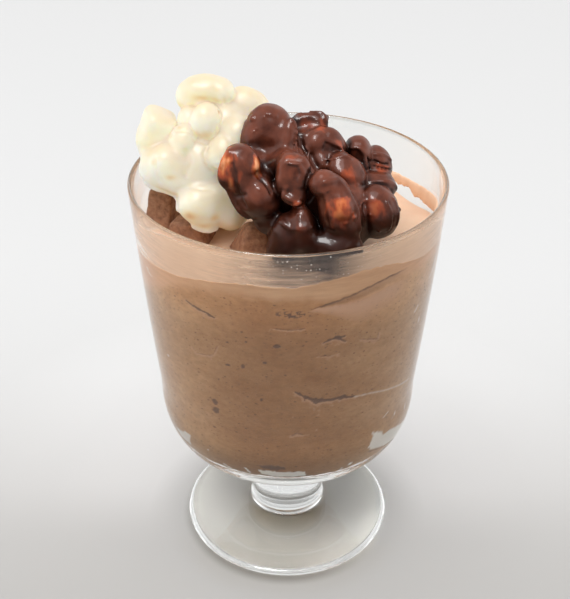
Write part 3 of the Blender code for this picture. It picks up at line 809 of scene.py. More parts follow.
# Its nuts in their coat, as above.
DARK_NUTS = (
    (0.8, (-4.3, -7.4, 137.9), (5.0, 4.8, 4.0), 10),
    (2.0, (-8.2, -8.4, 133.6), (4.3, 4.8, 5.4), 18),
    (1.6, (-3.4, -10.8, 133.2), (4.6, 4.2, 5.9), (-12, -16, 0), 0.22, 0.0, 2.3),
    (1.8, (0.0, -12.0, 134.6), (2.0, 2.8, 5.4), (-14, 6, 0)),
    (0.9, (-11.8, -20.8, 131.0), (5.0, 4.6, 6.0), 14, 0.0, 0.0, 2.3),
    (1.6, (-7.4, -22.0, 124.0), (5.4, 5.4, 6.6), -24, 0.04),
    (0.8, (1.1, -21.8, 129.6), (4.2, 3.8, 5.9), (-6, 4, 0), 0.0, 0.0, 3.4),
    (1.2, (2.1, -24.0, 125.2), (2.9, 2.9, 3.6), -14),
    (1.2, (4.6, -5.8, 134.6), (5.4, 4.0, 4.8), -18, 0.0, 0.0, 1.8),
    (1.4, (3.2, -9.0, 131.4), (3.4, 3.6, 4.6)),
    (1.2, (7.2, -5.4, 137.4), (3.0, 1.7, 2.0), -8, 0.0, 0.0, 1.5),
    (1.6, (6.6, -10.8, 131.4), (4.0, 3.4, 4.8), 26, 0.0, 0.0, 2.2),
    (1.0, (10.9, -9.4, 131.8), (3.5, 3.5, 4.9), -20, 0.1),
    (1.4, (8.4, -13.4, 128.4), (3.6, 2.8, 3.8), -16),
    (0.5, (2.8, -13.4, 131.4), (1.5, 1.4, 1.7)),
    (0.8, (14.2, -14.5, 126.2), (4.5, 4.6, 6.4), -28, 0.08),
    (0.7, (11.8, -26.3, 122.8), (5.1, 5.1, 8.4), -14, 0.2, 0.6),
    (1.2, (14.4, -28.4, 117.6), (2.6, 2.6, 3.2)),
    (1.4, (13.4, -29.6, 124.6), (1.8, 1.6, 2.2), -20),
    (1.2, (8.5, -26.0, 129.0), (3.3, 3.5, 3.4), -30),
    (0.9, (18.0, -7.4, 128.2), (3.3, 4.2, 4.8), -22, 0.0, 0.0, 2.2),
    (0.7, (22.9, -6.4, 125.6), (3.5, 4.0, 4.2), -30, 0.0, 0.0, 2.2),
    (0.8, (20.4, -11.8, 121.8), (3.4, 3.8, 3.4), 16),
    (1.0, (23.8, -11.4, 121.8), (3.4, 3.8, 3.0), 34, 0.0, 0.0, 2.2),
    (0.6, (22.2, -18.8, 117.8), (5.6, 5.3, 7.2), -6, 0.08),
    (1.6, (-0.8, -26.6, 114.2), (4.2, 4.9, 7.2), 12, 0.1),
    (1.2, (3.6, -26.8, 117.0), (4.0, 4.4, 6.8), -4, 0.08),
    (2.0, (11.4, -28.6, 112.0), (7.4, 4.8, 5.9)),
    (1.6, (-5.0, -22.4, 117.2), (3.6, 3.4, 3.6)),
    (0.9, (0.8, -26.4, 125.2), (2.5, 1.5, 1.3), 24),
)
# Hollows in it: how soft the edge is, centre, half lengths, lean or turns.
DARK_HOLLOWS = (
    (3.0, (-5.6, -17.4, 136.2), (3.0, 3.4, 4.6), (20, 12, 0)),
    (1.4, (4.6, -9.9, 137.4), (3.6, 2.4, 1.8), -16),
    (0.9, (2.0, -27.4, 131.4), (1.0, 2.2, 2.6), (-8, 14, 0)),
    (1.4, (17.4, -11.9, 130.4), (1.5, 1.1, 2.4), -24),
    (0.9, (22.6, -10.6, 127.0), (2.6, 1.0, 0.7), 22),
)
# Creases in it: paths, half width, softness.
DARK_CREASES = (
    (((-13.4, -24.6, 133.6), (-12.8, -26.4, 130.0), (-13.0, -26.4, 126.2), (-11.8, -27.0, 122.6)), 0.4, 0.9),
    (((-14.2, -26.0, 124.8), (-12.6, -27.0, 125.8), (-11.2, -27.4, 126.6)), 0.35, 0.6),
    (((-5.9, -25.4, 131.8), (-4.9, -25.7, 129.6), (-4.3, -25.9, 126.8)), 0.5, 0.8),
    (((19.6, -11.4, 129.6), (20.4, -10.6, 127.4), (20.5, -11.0, 125.2)), 0.45, 0.7),
    (((3.4, -11.6, 133.6), (5.0, -13.2, 130.6), (5.4, -14.4, 127.6)), 0.35, 0.7),
    (((8.6, -11.6, 134.2), (8.4, -13.0, 131.6), (9.4, -14.0, 129.2)), 0.3, 0.7),
    (((21.8, -9.4, 127.6), (25.2, -8.8, 126.2)), 0.25, 0.3),
    (((21.6, -10.2, 126.4), (25.6, -9.8, 124.8)), 0.25, 0.3),
    (((21.4, -10.8, 125.2), (25.2, -10.6, 123.6)), 0.22, 0.3),
    (((25.2, -22.4, 122.4), (26.0, -22.6, 118.8), (25.2, -23.0, 114.4)), 0.28, 0.4),
    (((16.9, -25.6, 126.4), (18.0, -24.6, 121.0), (17.6, -25.6, 116.4)), 0.4, 0.8),
)
# Raised threads on it, where its coat has run and set: paths, half width, softness.
DARK_THREADS = (
    (((0.6, -11.4, 139.6), (2.0, -12.4, 137.2), (2.3, -13.4, 134.6), (1.6, -14.8, 131.8)), 0.42, 0.6),
    (((3.0, -10.4, 134.6), (4.6, -11.0, 134.6), (6.4, -10.2, 135.4), (8.2, -9.0, 136.6)), 0.5, 0.6),
    (((1.6, -6.4, 137.4), (3.4, -5.4, 138.8), (6.0, -5.0, 139.5), (8.4, -5.6, 139.0), (9.4, -7.0, 136.6)),
     0.45, 0.8),
    (((3.9, -13.8, 133.4), (4.9, -14.4, 132.0), (4.8, -15.0, 130.4)), 0.35, 0.3),
    (((9.0, -12.4, 134.8), (11.4, -13.0, 134.0), (13.6, -12.4, 132.4), (14.2, -12.6, 130.0)), 0.4, 0.6),
    (((9.4, -16.4, 131.4), (11.6, -16.6, 132.4), (13.8, -16.0, 132.2), (15.3, -15.6, 131.2)), 0.36, 0.5),
    (((8.6, -29.4, 131.6), (12.3, -27.6, 131.6), (14.9, -28.4, 128.8), (16.4, -28.8, 125.4),
      (16.9, -28.6, 122.0), (16.2, -28.6, 118.4)), 0.5, 0.7),
    (((8.4, -30.8, 128.8), (9.6, -31.4, 125.0), (11.0, -31.6, 120.6)), 0.3, 1.0),
    (((15.8, -11.2, 132.4), (17.8, -11.6, 131.6), (19.4, -11.4, 129.2), (19.4, -11.6, 126.4)), 0.35, 0.4),
    (((16.2, -11.6, 130.2), (17.6, -12.0, 129.4), (18.2, -12.0, 127.4)), 0.3, 0.4),
    (((21.4, -9.8, 127.0), (23.6, -9.4, 126.2), (26.0, -8.6, 125.2)), 0.34, 0.25),
    (((21.0, -10.6, 125.8), (23.4, -10.4, 125.0), (26.2, -9.4, 124.0)), 0.34, 0.25),
    (((21.6, -8.6, 128.8), (23.8, -8.0, 128.0), (25.8, -7.4, 126.6)), 0.36, 0.3),
    (((20.6, -14.6, 123.8), (23.2, -14.6, 124.2), (26.0, -13.4, 123.2), (26.8, -12.4, 121.4)), 0.36, 0.4),
    (((24.6, -22.4, 123.0), (25.8, -22.6, 119.4), (25.0, -23.2, 114.6)), 0.36, 0.4),
    (((26.4, -20.2, 122.6), (27.4, -20.6, 119.6), (27.0, -21.0, 115.6)), 0.36, 0.35),
    (((18.8, -23.0, 124.6), (18.4, -24.2, 121.0), (18.8, -24.8, 116.6)), 0.4, 0.6),
    (((-14.4, -22.8, 136.0), (-16.0, -22.8, 131.6), (-15.4, -23.4, 126.4), (-13.6, -24.2, 121.8),
      (-10.6, -25.2, 118.6)), 0.7, 1.0),
    (((0.0, -25.6, 134.6), (2.8, -25.6, 134.2), (3.6, -25.4, 131.6), (3.0, -25.8, 128.8)), 0.45, 0.5),
    (((-0.6, -25.8, 128.0), (-1.2, -26.6, 125.6), (0.8, -27.4, 124.0), (2.8, -27.4, 124.8)), 0.5, 0.5),
    (((-2.4, -27.6, 121.0), (0.2, -28.8, 118.4), (4.6, -29.2, 119.4)), 0.4, 1.2),
)
# Small beads on it: centre, radius.
DARK_BEADS = (
    (-9.6, -10.6, 139.9, 0.75), (27.6, -19.6, 119.0, 0.6), (2.4, -28.6, 122.3, 0.35),
    (-8.4, -13.8, 138.6, 0.3), (15.6, -29.6, 122.2, 0.5), (13.6, -30.9, 121.4, 0.3),
    (9.7, -31.0, 129.6, 0.25), (22.6, -24.4, 114.8, 0.45), (23.6, -24.0, 113.4, 0.35),
    (-9.9, -27.2, 121.6, 0.28), (20.2, -23.6, 119.6, 0.25), (-6.8, -27.4, 128.6, 0.28),
    (4.6, -31.4, 112.4, 0.5), (5.6, -31.6, 110.6, 0.45), (17.3, -18.6, 125.2, 0.28),
    (0.9, -12.0, 139.2, 0.28), (1.7, -12.6, 138.0, 0.32), (2.1, -13.0, 136.6, 0.26),
    (2.3, -13.6, 135.2, 0.3), (2.2, -14.2, 133.6, 0.26), (1.4, -13.4, 137.2, 0.22),
    (1.5, -14.4, 134.4, 0.22), (-5.6, -12.2, 142.0, 0.28), (-4.2, -12.4, 142.2, 0.3),
    (-2.9, -12.4, 141.6, 0.26), (-6.6, -12.4, 141.0, 0.24), (-3.6, -13.2, 141.0, 0.22),
    (-8.9, -13.4, 137.4, 0.3), (11.2, -16.9, 131.6, 0.3), (12.6, -17.3, 130.8, 0.24),
)
# Places where a nut's skin shows through: centre, reach, how bare it is.
DARK_SKIN = (
    ((-15.2, -23.2, 133.4), (2.7, 2.8, 4.6), 1.0), ((-11.8, -25.6, 131.4), (1.1, 1.6, 2.6), 0.55),
    ((-7.6, -23.8, 132.8), (1.3, 2.2, 3.4), 1.0), ((-13.6, -25.6, 127.2), (1.4, 2.0, 3.4), 1.0),
    ((-11.8, -23.4, 133.0), (4.2, 3.4, 3.6), 0.32),
    ((12.6, -31.0, 124.4), (3.4, 3.0, 4.2), 0.78), ((1.6, -27.8, 124.8), (2.4, 1.6, 1.4), 0.6),
    ((14.8, -19.0, 128.4), (3.6, 2.6, 3.4), 0.52),
    ((21.0, -23.7, 121.0), (3.2, 2.8, 4.2), 0.6), ((2.3, -27.0, 124.0), (2.4, 1.8, 2.2), 0.45),
    ((0.4, -23.6, 135.2), (3.2, 1.8, 1.0), 0.36), ((1.0, -24.8, 130.6), (3.6, 2.2, 4.6), 0.3),
    ((5.0, -7.6, 136.6), (3.6, 3.0, 2.6), 0.42), ((7.6, -9.4, 136.0), (2.4, 2.0, 2.0), 0.5),
    ((8.6, -7.4, 136.4), (1.0, 2.0, 2.4), 0.5),
    ((23.6, -10.0, 126.0), (2.6, 2.0, 1.6), 0.55), ((16.2, -9.7, 129.4), (1.0, 2.0, 2.4), 0.5),
    ((12.6, -12.6, 133.0), (1.4, 2.0, 2.6), 0.4), ((2.8, -31.0, 119.4), (1.6, 1.6, 3.0), 0.35),
    ((-3.4, -25.4, 132.2), (1.2, 1.2, 2.4), 0.45), ((-8.2, -12.4, 138.6), (1.2, 1.2, 1.4), 0.3),
)
# The chunks: centre, half lengths, turns, and the share of its width that the top has.
CHUNKS = {
    "chunk_left": ((-33.2, -2.4, 110.2), (4.0, 4.2, 6.0), (0, 6, -20), 0.8),
    "chunk_under_white": ((-25.4, -10.4, 107.6), (5.6, 4.2, 3.4), (0, -4, -22), 0.8),
    "chunk_front": ((-8.6, -18.6, 109.6), (6.2, 4.6, 5.2), (8, 0, 14), 0.34),
}
GRID = 0.3                      # spacing of the grids that the clusters and chunks are shaped on
CORE_BLEND, BEAD_BLEND = 1.5, 0.3
# Waves all over a cluster: size, height, seed.
DARK_RIPPLES = ((4.2, 0.3, 3), (2.0, 0.16, 4), (1.0, 0.06, 7))
WHITE_RIPPLES = ((3.6, 0.3, 5), (1.8, 0.09, 6))
# Heights over which a cluster's painted light comes in, and its share of painted light below them.
DARK_LIT, DARK_UNLIT = (107.0, 129.0), 0.22
WHITE_LIT, WHITE_UNLIT = (112.0, 130.0), 0.4


def node_box(node):
    """The lowest and highest corner of a node, in millimetres."""
    low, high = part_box(node)
    return np.array(low) / MM, np.array(high) / MM


def patches(points, places, size, rough, core):
    """How bare the surface is at each point, from places of (centre, reach, share)."""
    ragged = bumps(points * np.array((1.0, 1.0, 0.45)), size, 4, shift=11.0)
    bare = np.zeros(len(points))
    for centre, reach, share in places:
        away = np.sqrt((((points - np.array(centre)) / np.array(reach)) ** 2).sum(-1)) + rough * ragged
        bare = np.maximum(bare, share * smooth_step(1.6, core, away))
    return bare


def directions(piece):
    """The direction in which the surface faces at each point."""
    normals = np.zeros(3 * len(piece.data.vertices))
    piece.data.vertex_normals.foreach_get("vector", normals)
    return normals.reshape(-1, 3)


def openness(piece, shape, points):
    """How open the space above each point is, from 0 in a crevice to 1."""
    normals = directions(piece)
    steps = (0.8, 2.0, 4.0)
    return sum(np.clip(shape.at(points + normals * away) / away, 0.0, 1.0) for away in steps) / len(steps)


def sculpted(node, core, nuts, hollows, creases, threads, beads, ripples):
    """A node's solid, filled from its tables in the order in which the chocolate would cover it."""
    shape = Shape(*node_box(node), GRID)
    for row in core:
        shape.join(egg(*row), CORE_BLEND)
    for blend, *row in nuts:
        shape.join(egg(*row), blend)
    for soft, *row in hollows:
        shape.cut(egg(*row), soft)
    for path, width, soft in creases:
        shape.cut(thread(shape.settled(path), width), soft)
    for path, width, soft in threads:
        shape.join(thread(shape.settled(path), width), soft)
    for *centre, radius in beads:
        shape.join(egg(shape.settled([centre])[0], (radius, radius, radius)), BEAD_BLEND)
    for ripple in ripples:
        shape.ripple(*ripple)
    return shape


def make_dark_cluster():
    """Almonds and hazelnuts in dark chocolate."""
    shape = sculpted("dark_cluster", DARK_CORE, DARK_NUTS, DARK_HOLLOWS, DARK_CREASES, DARK_THREADS,
                     DARK_BEADS, DARK_RIPPLES)
    points, faces = shape.mesh()
    piece = new_piece("dark_nut_cluster", points, faces, dark_material(), "dark_cluster")
    add_values(piece, "bare", patches(points, DARK_SKIN, size=1.6, rough=0.55, core=0.0))
    # Painted shade in crevices, low down and on undersides, and painted light on open tops.
    lit = between(DARK_UNLIT, 1.0, smooth_step(*DARK_LIT, points[:, 2]))
    lit = lit * between(0.3, 1.0, smooth_step(-0.8, 0.6, directions(piece)[:, 2]))
    add_values(piece, "open", openness(piece, shape, points) * lit)


def make_white_cluster():
    """Nuts in white chocolate."""
    shape = sculpted("white_cluster", WHITE_CORE, WHITE_NUTS, (), WHITE_CREASES, WHITE_THREADS, (),
                     WHITE_RIPPLES)
    points, faces = shape.mesh()
    piece = new_piece("white_nut_cluster", points, faces, white_material(),
                      "white_cluster")
    facing = directions(piece)[:, 2]
    thin = patches(points, WHITE_TAN, size=2.6, rough=0.2, core=-0.6)
    # Tan where its coat is thin, and tan as painted shade on its undersides.
    add_values(piece, "tan_and_shade", np.maximum(thin, 0.5 * smooth_step(0.1, -0.9, facing)))
    # Painted light: brighter and cooler low down and on its sides than on its top.
    painted_lit = between(WHITE_UNLIT, 1.0, smooth_step(*WHITE_LIT, points[:, 2]))
    add_values(piece, "top_light_share", painted_lit * smooth_step(-0.1, 0.9, facing))


def make_chunk(node):
    """One rough chocolate chunk."""
    centre, half, turns, narrowing = CHUNKS[node]
    low, high = node_box(node)
    shape = Shape(low - 1.0, high + 1.0, GRID)
    shape.join(block(centre, half, turns, narrowing, 0.8), 0.4)
    points, faces = shape.mesh()
    points = points + 0.25 * bumps(points, 1.2, 4)[:, None] * (points - np.array(centre)) / max(half)
    name = node.replace("chunk", "truffle_chunk")
    new_piece(name, points, faces, chunk_material(), node)


# ------------ materials

WHITE = (1.0, 1.0, 1.0)


class Nodes:
    """A node tree, and short ways to add nodes to it."""

    def __init__(self, tree):
        self.tree = tree

    def feed(self, socket, item):
        """Gives an input a number, a colour, a vector or an output."""
        if isinstance(item, (int, float)):
            socket.default_value = item
        elif isinstance(item, tuple):
            socket.default_value = (*item, 1.0)[:len(socket.default_value)]
        else:
            self.tree.links.new(item, socket)

    def add(self, kind, inputs=None, **values):
        """A node of this kind with these inputs and properties."""
        node = self.tree.nodes.new(kind)
        for key, value in values.items():
            setattr(node, key, value)
        for socket, item in (inputs or {}).items():
            self.feed(node.inputs[socket], item)
        return node

    def place(self, space="Object"):
        """Where a point lies on its piece, or in which direction of the world, for Generated."""
        return self.add("ShaderNodeTexCoord").outputs[space]

    def stretched(self, stretch):
        """Where a point lies on its piece, with its axes stretched."""
        return self.add("ShaderNodeMapping", {"Vector": self.place(), "Scale": stretch}).outputs["Vector"]

    def axes(self, place):
        """The x, y and z of a place."""
        return self.add("ShaderNodeSeparateXYZ", {"Vector": place}).outputs

    def noise(self, scale, detail, roughness, stretch=(1.0, 1.0, 1.0)):
        """Cloudy values of 0 to 1 that belong to the place on the piece."""
        inputs = {"Vector": self.stretched(stretch), "Scale": scale, "Detail": detail, "Roughness": roughness}
        return self.add("ShaderNodeTexNoise", inputs).outputs["Fac"]

    def specks(self, scale, size, rarity, stretch):
        """1 in small spots and 0 between them: spot size in cells, and the share of cells without one."""
        cells = self.add("ShaderNodeTexVoronoi", {"Vector": self.stretched(stretch), "Scale": scale}).outputs
        spots = self.range(cells["Distance"], size, 0.6 * size)
        chance = self.add("ShaderNodeSeparateColor", {"Color": cells["Color"]}).outputs["Red"]
        return self.maths("MULTIPLY", spots, self.maths("GREATER_THAN", chance, rarity))

    def value(self, name):
        """The number that the piece holds under this name."""
        return self.add("ShaderNodeAttribute", attribute_name=name).outputs["Fac"]

    def ramp(self, source, *stops, interpolation="LINEAR"):
        """Turns a number into a colour: stops of (place, colour)."""
        ramp = self.add("ShaderNodeValToRGB", {"Fac": source})
        ramp.color_ramp.interpolation = interpolation
        while len(ramp.color_ramp.elements) < len(stops):
            ramp.color_ramp.elements.new(0.5)
        for element, (place, colour) in zip(ramp.color_ramp.elements, stops):
            element.position = place
            element.color = (*colour, 1.0)
        return ramp.outputs["Color"]

    def tones(self, source, first, last):
        """Turns cloudy values into the colours between two."""
        return self.ramp(source, (0.3, first), (0.7, last))

    def range(self, source, low, high, new_low=0.0, new_high=1.0):
        """Maps a number from one range to another, smoothly and clamped."""
        inputs = {"Value": source, "From Min": low, "From Max": high, "To Min": new_low, "To Max": new_high}
        return self.add("ShaderNodeMapRange", inputs, interpolation_type="SMOOTHSTEP").outputs["Result"]

    def maths(self, operation, *items):
        """Arithmetic on numbers or outputs."""
        return self.add("ShaderNodeMath", dict(enumerate(items)), operation=operation).outputs["Value"]

    def share(self, source, start, length):
        """How far along a span a number is, as a share of the span's length."""
        return self.maths("MULTIPLY", self.maths("SUBTRACT", source, start), 1.0 / length)

    def mix(self, share, first, second, blend="MIX"):
        """Mixes two colours or outputs by a share."""
        inputs = {0: share, 6: first, 7: second}        # 6 and 7 are its inputs for colours
        return self.add("ShaderNodeMix", inputs, data_type="RGBA", blend_type=blend).outputs[2]

    def tinted(self, colour, tint, share=None):
        """A colour multiplied by another, or by a share of it."""
        tint = tint if share is None else self.mix(share, WHITE, tint)
        return self.mix(1.0, colour, tint, "MULTIPLY")


class Material(Nodes):
    """A new Principled material."""

    def __init__(self, name, colour, roughness):
        self.material = bpy.data.materials.new(name)
        self.material.use_nodes = True
        super().__init__(self.material.node_tree)
        self.set("Base Color", colour)
        self.set("Roughness", roughness)

    def set(self, socket, item):
        """Gives a socket of the shader a number, a colour, a vector or an output."""
        self.feed(self.tree.nodes["Principled BSDF"].inputs[socket], item)

    def bump(self, height, distance, strength):
        """Bumps of this height in millimetres."""
        inputs = {"Strength": strength, "Distance": distance * MM, "Height": height}
        self.set("Normal", self.add("ShaderNodeBump", inputs).outputs["Normal"])

    def soften(self, weight, radius, scale):
        """Lets light into the piece, this far in millimetres."""
        self.set("Subsurface Weight", weight)
        self.set("Subsurface Radius", radius)
        self.set("Subsurface Scale", scale * MM)


GLASS_COLOUR = (0.965, 0.98, 0.972)
LIP_SHADE_COLOUR = (0.73, 0.745, 0.725)


def clear_glass():
    """Clear glass, with grey shade painted in its lip for the darker line of the rim, where the eye looks
    through the most of it.
    """
    nodes = Material("clear_glass", GLASS_COLOUR, 0.0)
    # Painted shade: the top of the lip is tinted grey.
    lip = nodes.range(nodes.axes(nodes.place())["Z"], (HEIGHT - 1.3) * MM, (HEIGHT - 0.5) * MM)
    nodes.set("Base Color", nodes.mix(lip, GLASS_COLOUR, LIP_SHADE_COLOUR))
    nodes.set("IOR", 1.5)
    nodes.set("Transmission Weight", 1.0)
    return nodes.material


def mousse_material():
    """Airy chocolate mousse: brown, with lighter and darker clouds, burst bubbles and cracks with painted
    shade, painted side light, painted light towards the top, pink painted highlights below cracks, and pale
    painted reflections.
    """
    nodes = Material("mousse", (0.33, 0.155, 0.065), 0.55)
    clouds = nodes.noise(75.0, 5.0, 0.6, (1.0, 1.0, 1.8))
    colour = nodes.tones(clouds, (0.268, 0.117, 0.038), (0.334, 0.164, 0.064))
    # Painted side light: paler towards both sides.
    colour = nodes.tinted(colour, (1.6, 1.95, 2.55), nodes.value("light"))
    # Painted light: paler towards the top.
    colour = nodes.tinted(colour, nodes.mix(nodes.value("upper"), (0.96, 0.96, 0.96), (1.25, 1.25, 1.25)))
    grains = nodes.noise(520.0, 3.0, 0.6, (1.0, 1.0, 1.6))
    colour = nodes.tinted(colour, nodes.tones(grains, (0.88, 0.87, 0.85), (1.10, 1.11, 1.13)))
    # Burst bubbles: their holes painted dark as shade.
    specks = nodes.specks(400.0, 0.18, 0.62, (1.0, 1.0, 1.8))
    colour = nodes.mix(nodes.maths("MULTIPLY", specks, 0.7), colour, (0.10, 0.042, 0.018))
    motes = nodes.specks(820.0, 0.27, 0.55, (1.0, 1.0, 1.5))
    colour = nodes.mix(nodes.maths("MULTIPLY", motes, 0.5), colour, (0.14, 0.058, 0.025))
    band = nodes.tones(nodes.noise(130.0, 3.0, 0.5, (1.0, 1.0, 7.0)), (0.48, 0.27, 0.142), (0.56, 0.33, 0.18))
    # The band gets the same painted side light.
    band = nodes.tinted(band, (1.25, 1.22, 1.22), nodes.value("light"))
    colour = nodes.mix(nodes.value("band"), colour, band)
    # Pink painted highlight below the cracks and the fold.
    colour = nodes.mix(nodes.maths("MULTIPLY", nodes.value("pink_highlight"), 0.8), colour, (0.55, 0.33, 0.215))
    colour = nodes.mix(nodes.value("open_top"), colour, (0.78, 0.51, 0.345))
    # Painted shade in the cracks, pits, fold and crumples.
    dark = nodes.range(nodes.value("dark"), 0.05, 0.95, 0.0, 0.88)
    colour = nodes.mix(dark, colour, (0.10, 0.045, 0.026))
    # Pale painted reflection where air lies against the glass.
    nodes.set("Base Color", nodes.mix(nodes.value("pale_reflection"), colour, (0.84, 0.81, 0.76)))
    nodes.soften(0.1, (1.0, 0.55, 0.35), 1.2)
    nodes.bump(nodes.noise(900.0, 3.0, 0.6), 0.12, 0.6)
    return nodes.material


def film_material():
    """A smeared film of mousse, dragged round the glass in fine streaks, with tiny bubbles, and painted dark
    in its middle as the shade of the dark cluster seen through it.
    """
    nodes = Material("mousse_film", (0.62, 0.43, 0.30), 0.6)
    fine = nodes.noise(160.0, 4.0, 0.6, (1.0, 1.0, 12.0))
    painted_shadow = nodes.value("painted_shadow")
    clear = nodes.tones(fine, (0.80, 0.545, 0.375), (0.90, 0.63, 0.445))
    shadow_tone = nodes.ramp(fine, (0.4, (0.03, 0.018, 0.014)), (0.6, (0.135, 0.082, 0.062)))
    bubbles = nodes.maths("MULTIPLY", nodes.specks(900.0, 0.24, 0.7, (1.0, 1.0, 1.3)), painted_shadow)
    nodes.set("Base Color", nodes.mix(bubbles, nodes.mix(painted_shadow, clear, shadow_tone), (0.85, 0.80, 0.76)))
    streaks = nodes.maths("SUBTRACT", nodes.noise(70.0, 6.0, 0.62, (1.0, 1.0, 16.0)), 0.5)
    patchy = nodes.maths("ADD", nodes.value("cover"), nodes.maths("MULTIPLY", streaks, 0.8))
    film = nodes.range(patchy, 0.1, 0.95, 0.0, 0.9)
    nodes.set("Alpha", nodes.maths("MAXIMUM", film, nodes.maths("MULTIPLY", bubbles, 0.8)))
    return nodes.material


def smear_material():
    """A thick smear of mousse."""
    nodes = Material("mousse_smear", (0.80, 0.49, 0.31), 0.5)
    nodes.set("Base Color", nodes.tones(nodes.noise(260.0, 4.0, 0.6), (0.74, 0.43, 0.26), (0.86, 0.55, 0.36)))
    nodes.bump(nodes.noise(700.0, 3.0, 0.5), 0.1, 0.6)
    return nodes.material


def white_material():
    """White chocolate, tan where its coat is thin over a nut and as painted shade on its undersides, with
    painted light making it brighter and cooler low down and on its sides than on top.
    """
    nodes = Material("white_chocolate", (0.91, 0.82, 0.60), 0.38)
    colour = nodes.tones(nodes.noise(110.0, 3.0, 0.5), (0.90, 0.79, 0.53), (0.93, 0.86, 0.66))
    tan_and_shade = nodes.ramp(nodes.value("tan_and_shade"), (0.0, (0.90, 0.79, 0.53)), (0.5, (0.84, 0.67, 0.38)),
                     (1.0, (0.70, 0.44, 0.21)))
    colour = nodes.mix(nodes.range(nodes.value("tan_and_shade"), 0.0, 0.7), colour, tan_and_shade)
    # Painted light that evens its top with its sides and lower parts.
    painted_light_tint = nodes.mix(nodes.value("top_light_share"), (1.05, 1.12, 1.28), (0.85, 0.815, 0.84))
    nodes.set("Base Color", nodes.tinted(colour, painted_light_tint))
    nodes.soften(0.8, (1.0, 0.8, 0.5), 5.0)
    nodes.bump(nodes.noise(420.0, 3.0, 0.5), 0.06, 0.4)
    return nodes.material


def dark_material():
    """Dark chocolate, reddish where a nut's skin shows through its coat and orange where it is bare, with
    painted shade in its crevices, low down and underneath, and painted light on its open tops.
    """
    nodes = Material("dark_chocolate", (0.08, 0.025, 0.015), 0.36)
    colour = nodes.tones(nodes.noise(190.0, 4.0, 0.55), (0.046, 0.0108, 0.0052), (0.111, 0.0305, 0.0157))
    bare = nodes.value("bare")
    skin = nodes.ramp(bare, (0.15, (0.09, 0.027, 0.015)), (0.5, (0.22, 0.042, 0.015)),
                      (0.75, (0.38, 0.11, 0.035)), (1.0, (0.60, 0.275, 0.14)))
    colour = nodes.mix(nodes.range(bare, 0.1, 0.4), colour, skin)
    # Painted shade and painted light, by how open, high and upward-facing each point is.
    painted_light_and_shade = nodes.ramp(nodes.value("open"), (0.0, (0.08, 0.05, 0.04)), (0.5, (0.55, 0.48, 0.45)),
                      (0.9, (1.85, 1.8, 1.8)))
    nodes.set("Base Color", nodes.tinted(colour, painted_light_and_shade))
    nodes.set("Specular IOR Level", 0.12)
    nodes.set("Coat Weight", 0.34)
    nodes.set("Coat Roughness", 0.1)
    nodes.bump(nodes.noise(700.0, 3.0, 0.5), 0.06, 0.5)
    return nodes.material


def chunk_material():
    """Rough chocolate, dry and cocoa coloured."""
    nodes = Material("rough_chocolate", (0.16, 0.075, 0.04), 0.8)
    clouds = nodes.noise(700.0, 4.0, 0.65)
    nodes.set("Base Color", nodes.tones(clouds, (0.18, 0.07, 0.03), (0.42, 0.20, 0.10)))
    nodes.bump(clouds, 0.35, 0.8)
    return nodes.material


# The floor's painted shade, darker towards the front, as stops of (place, colour), over a span of (start,
# length).
FLOOR_DEPTH = (-0.06, 0.22)
FLOOR_SHADE_TONES = ((0.05, (0.445, 0.435, 0.42)), (0.25, (0.515, 0.505, 0.493)), (0.42, (0.61, 0.603, 0.595)),
               (0.6, (0.675, 0.675, 0.672)), (1.0, (0.70, 0.70, 0.70)))
# The painted shadow under the foot from left to right, in the same way.
FOOT_WIDTH = (-0.03, 0.06)
FOOT_SHADOW_TONES = ((0.06, (0.65, 0.63, 0.60)), (0.28, (0.56, 0.53, 0.50)), (0.52, (0.55, 0.52, 0.49)),
              (0.68, (0.64, 0.60, 0.57)), (0.84, (0.80, 0.78, 0.75)), (0.97, (1.08, 1.06, 1.02)))
# How strong the painted light in the brighter ring round the glass is, outwards from its axis.
RING_REACH = (0.0, 0.14)
RING_LIGHT_TONES = ((0.24, (0.0, 0.0, 0.0)), (0.32, WHITE), (0.40, (0.85, 0.85, 0.85)), (0.56, (0.4, 0.4, 0.4)),
              (0.9, (0.0, 0.0, 0.0)))


def floor_material():
    """Pale floor, with painted shade towards the front, painted light round the glass, and painted shadow
    under and just in front of its clear foot and under its stem.
    """
    nodes = Material("pale_floor", (0.8, 0.79, 0.775), 0.6)
    place = nodes.place()
    x, y, _ = nodes.axes(place)
    reach = nodes.add("ShaderNodeVectorMath", {0: place}, operation="LENGTH").outputs["Value"]
    colour = nodes.ramp(nodes.share(y, *FLOOR_DEPTH), *FLOOR_SHADE_TONES, interpolation="B_SPLINE")
    foot_shadow = nodes.ramp(nodes.share(x, *FOOT_WIDTH), *FOOT_SHADOW_TONES, interpolation="B_SPLINE")
    colour = nodes.tinted(colour, foot_shadow, nodes.range(reach, 0.034, 0.030))
    # Painted shadow just in front of the foot.
    front_shadow = nodes.maths("MULTIPLY", nodes.range(y, -0.008, -0.024), nodes.range(reach, 0.041, 0.033))
    colour = nodes.tinted(colour, (0.97, 0.96, 0.94), front_shadow)
    ring = nodes.ramp(nodes.share(reach, *RING_REACH), *RING_LIGHT_TONES)
    ring = nodes.maths("MULTIPLY", ring, nodes.range(y, -0.018, 0.014))
    colour = nodes.tinted(colour, (1.21, 1.21, 1.22), ring)
    # Painted brownish shadow under the stem.
    nodes.set("Base Color", nodes.tinted(colour, (0.76, 0.70, 0.57), nodes.range(reach, 0.017, 0.006)))
    return nodes.material


# ------------ stage

CAMERA_PLACE = Vector((0.0, -262.06, 247.37))
CAMERA_DOWN = 0.5694
CAMERA_TURN = -0.0031
CAMERA_ROLL = 0.0024
SENSOR = 36.0
FOCAL_LENGTH = 65.67


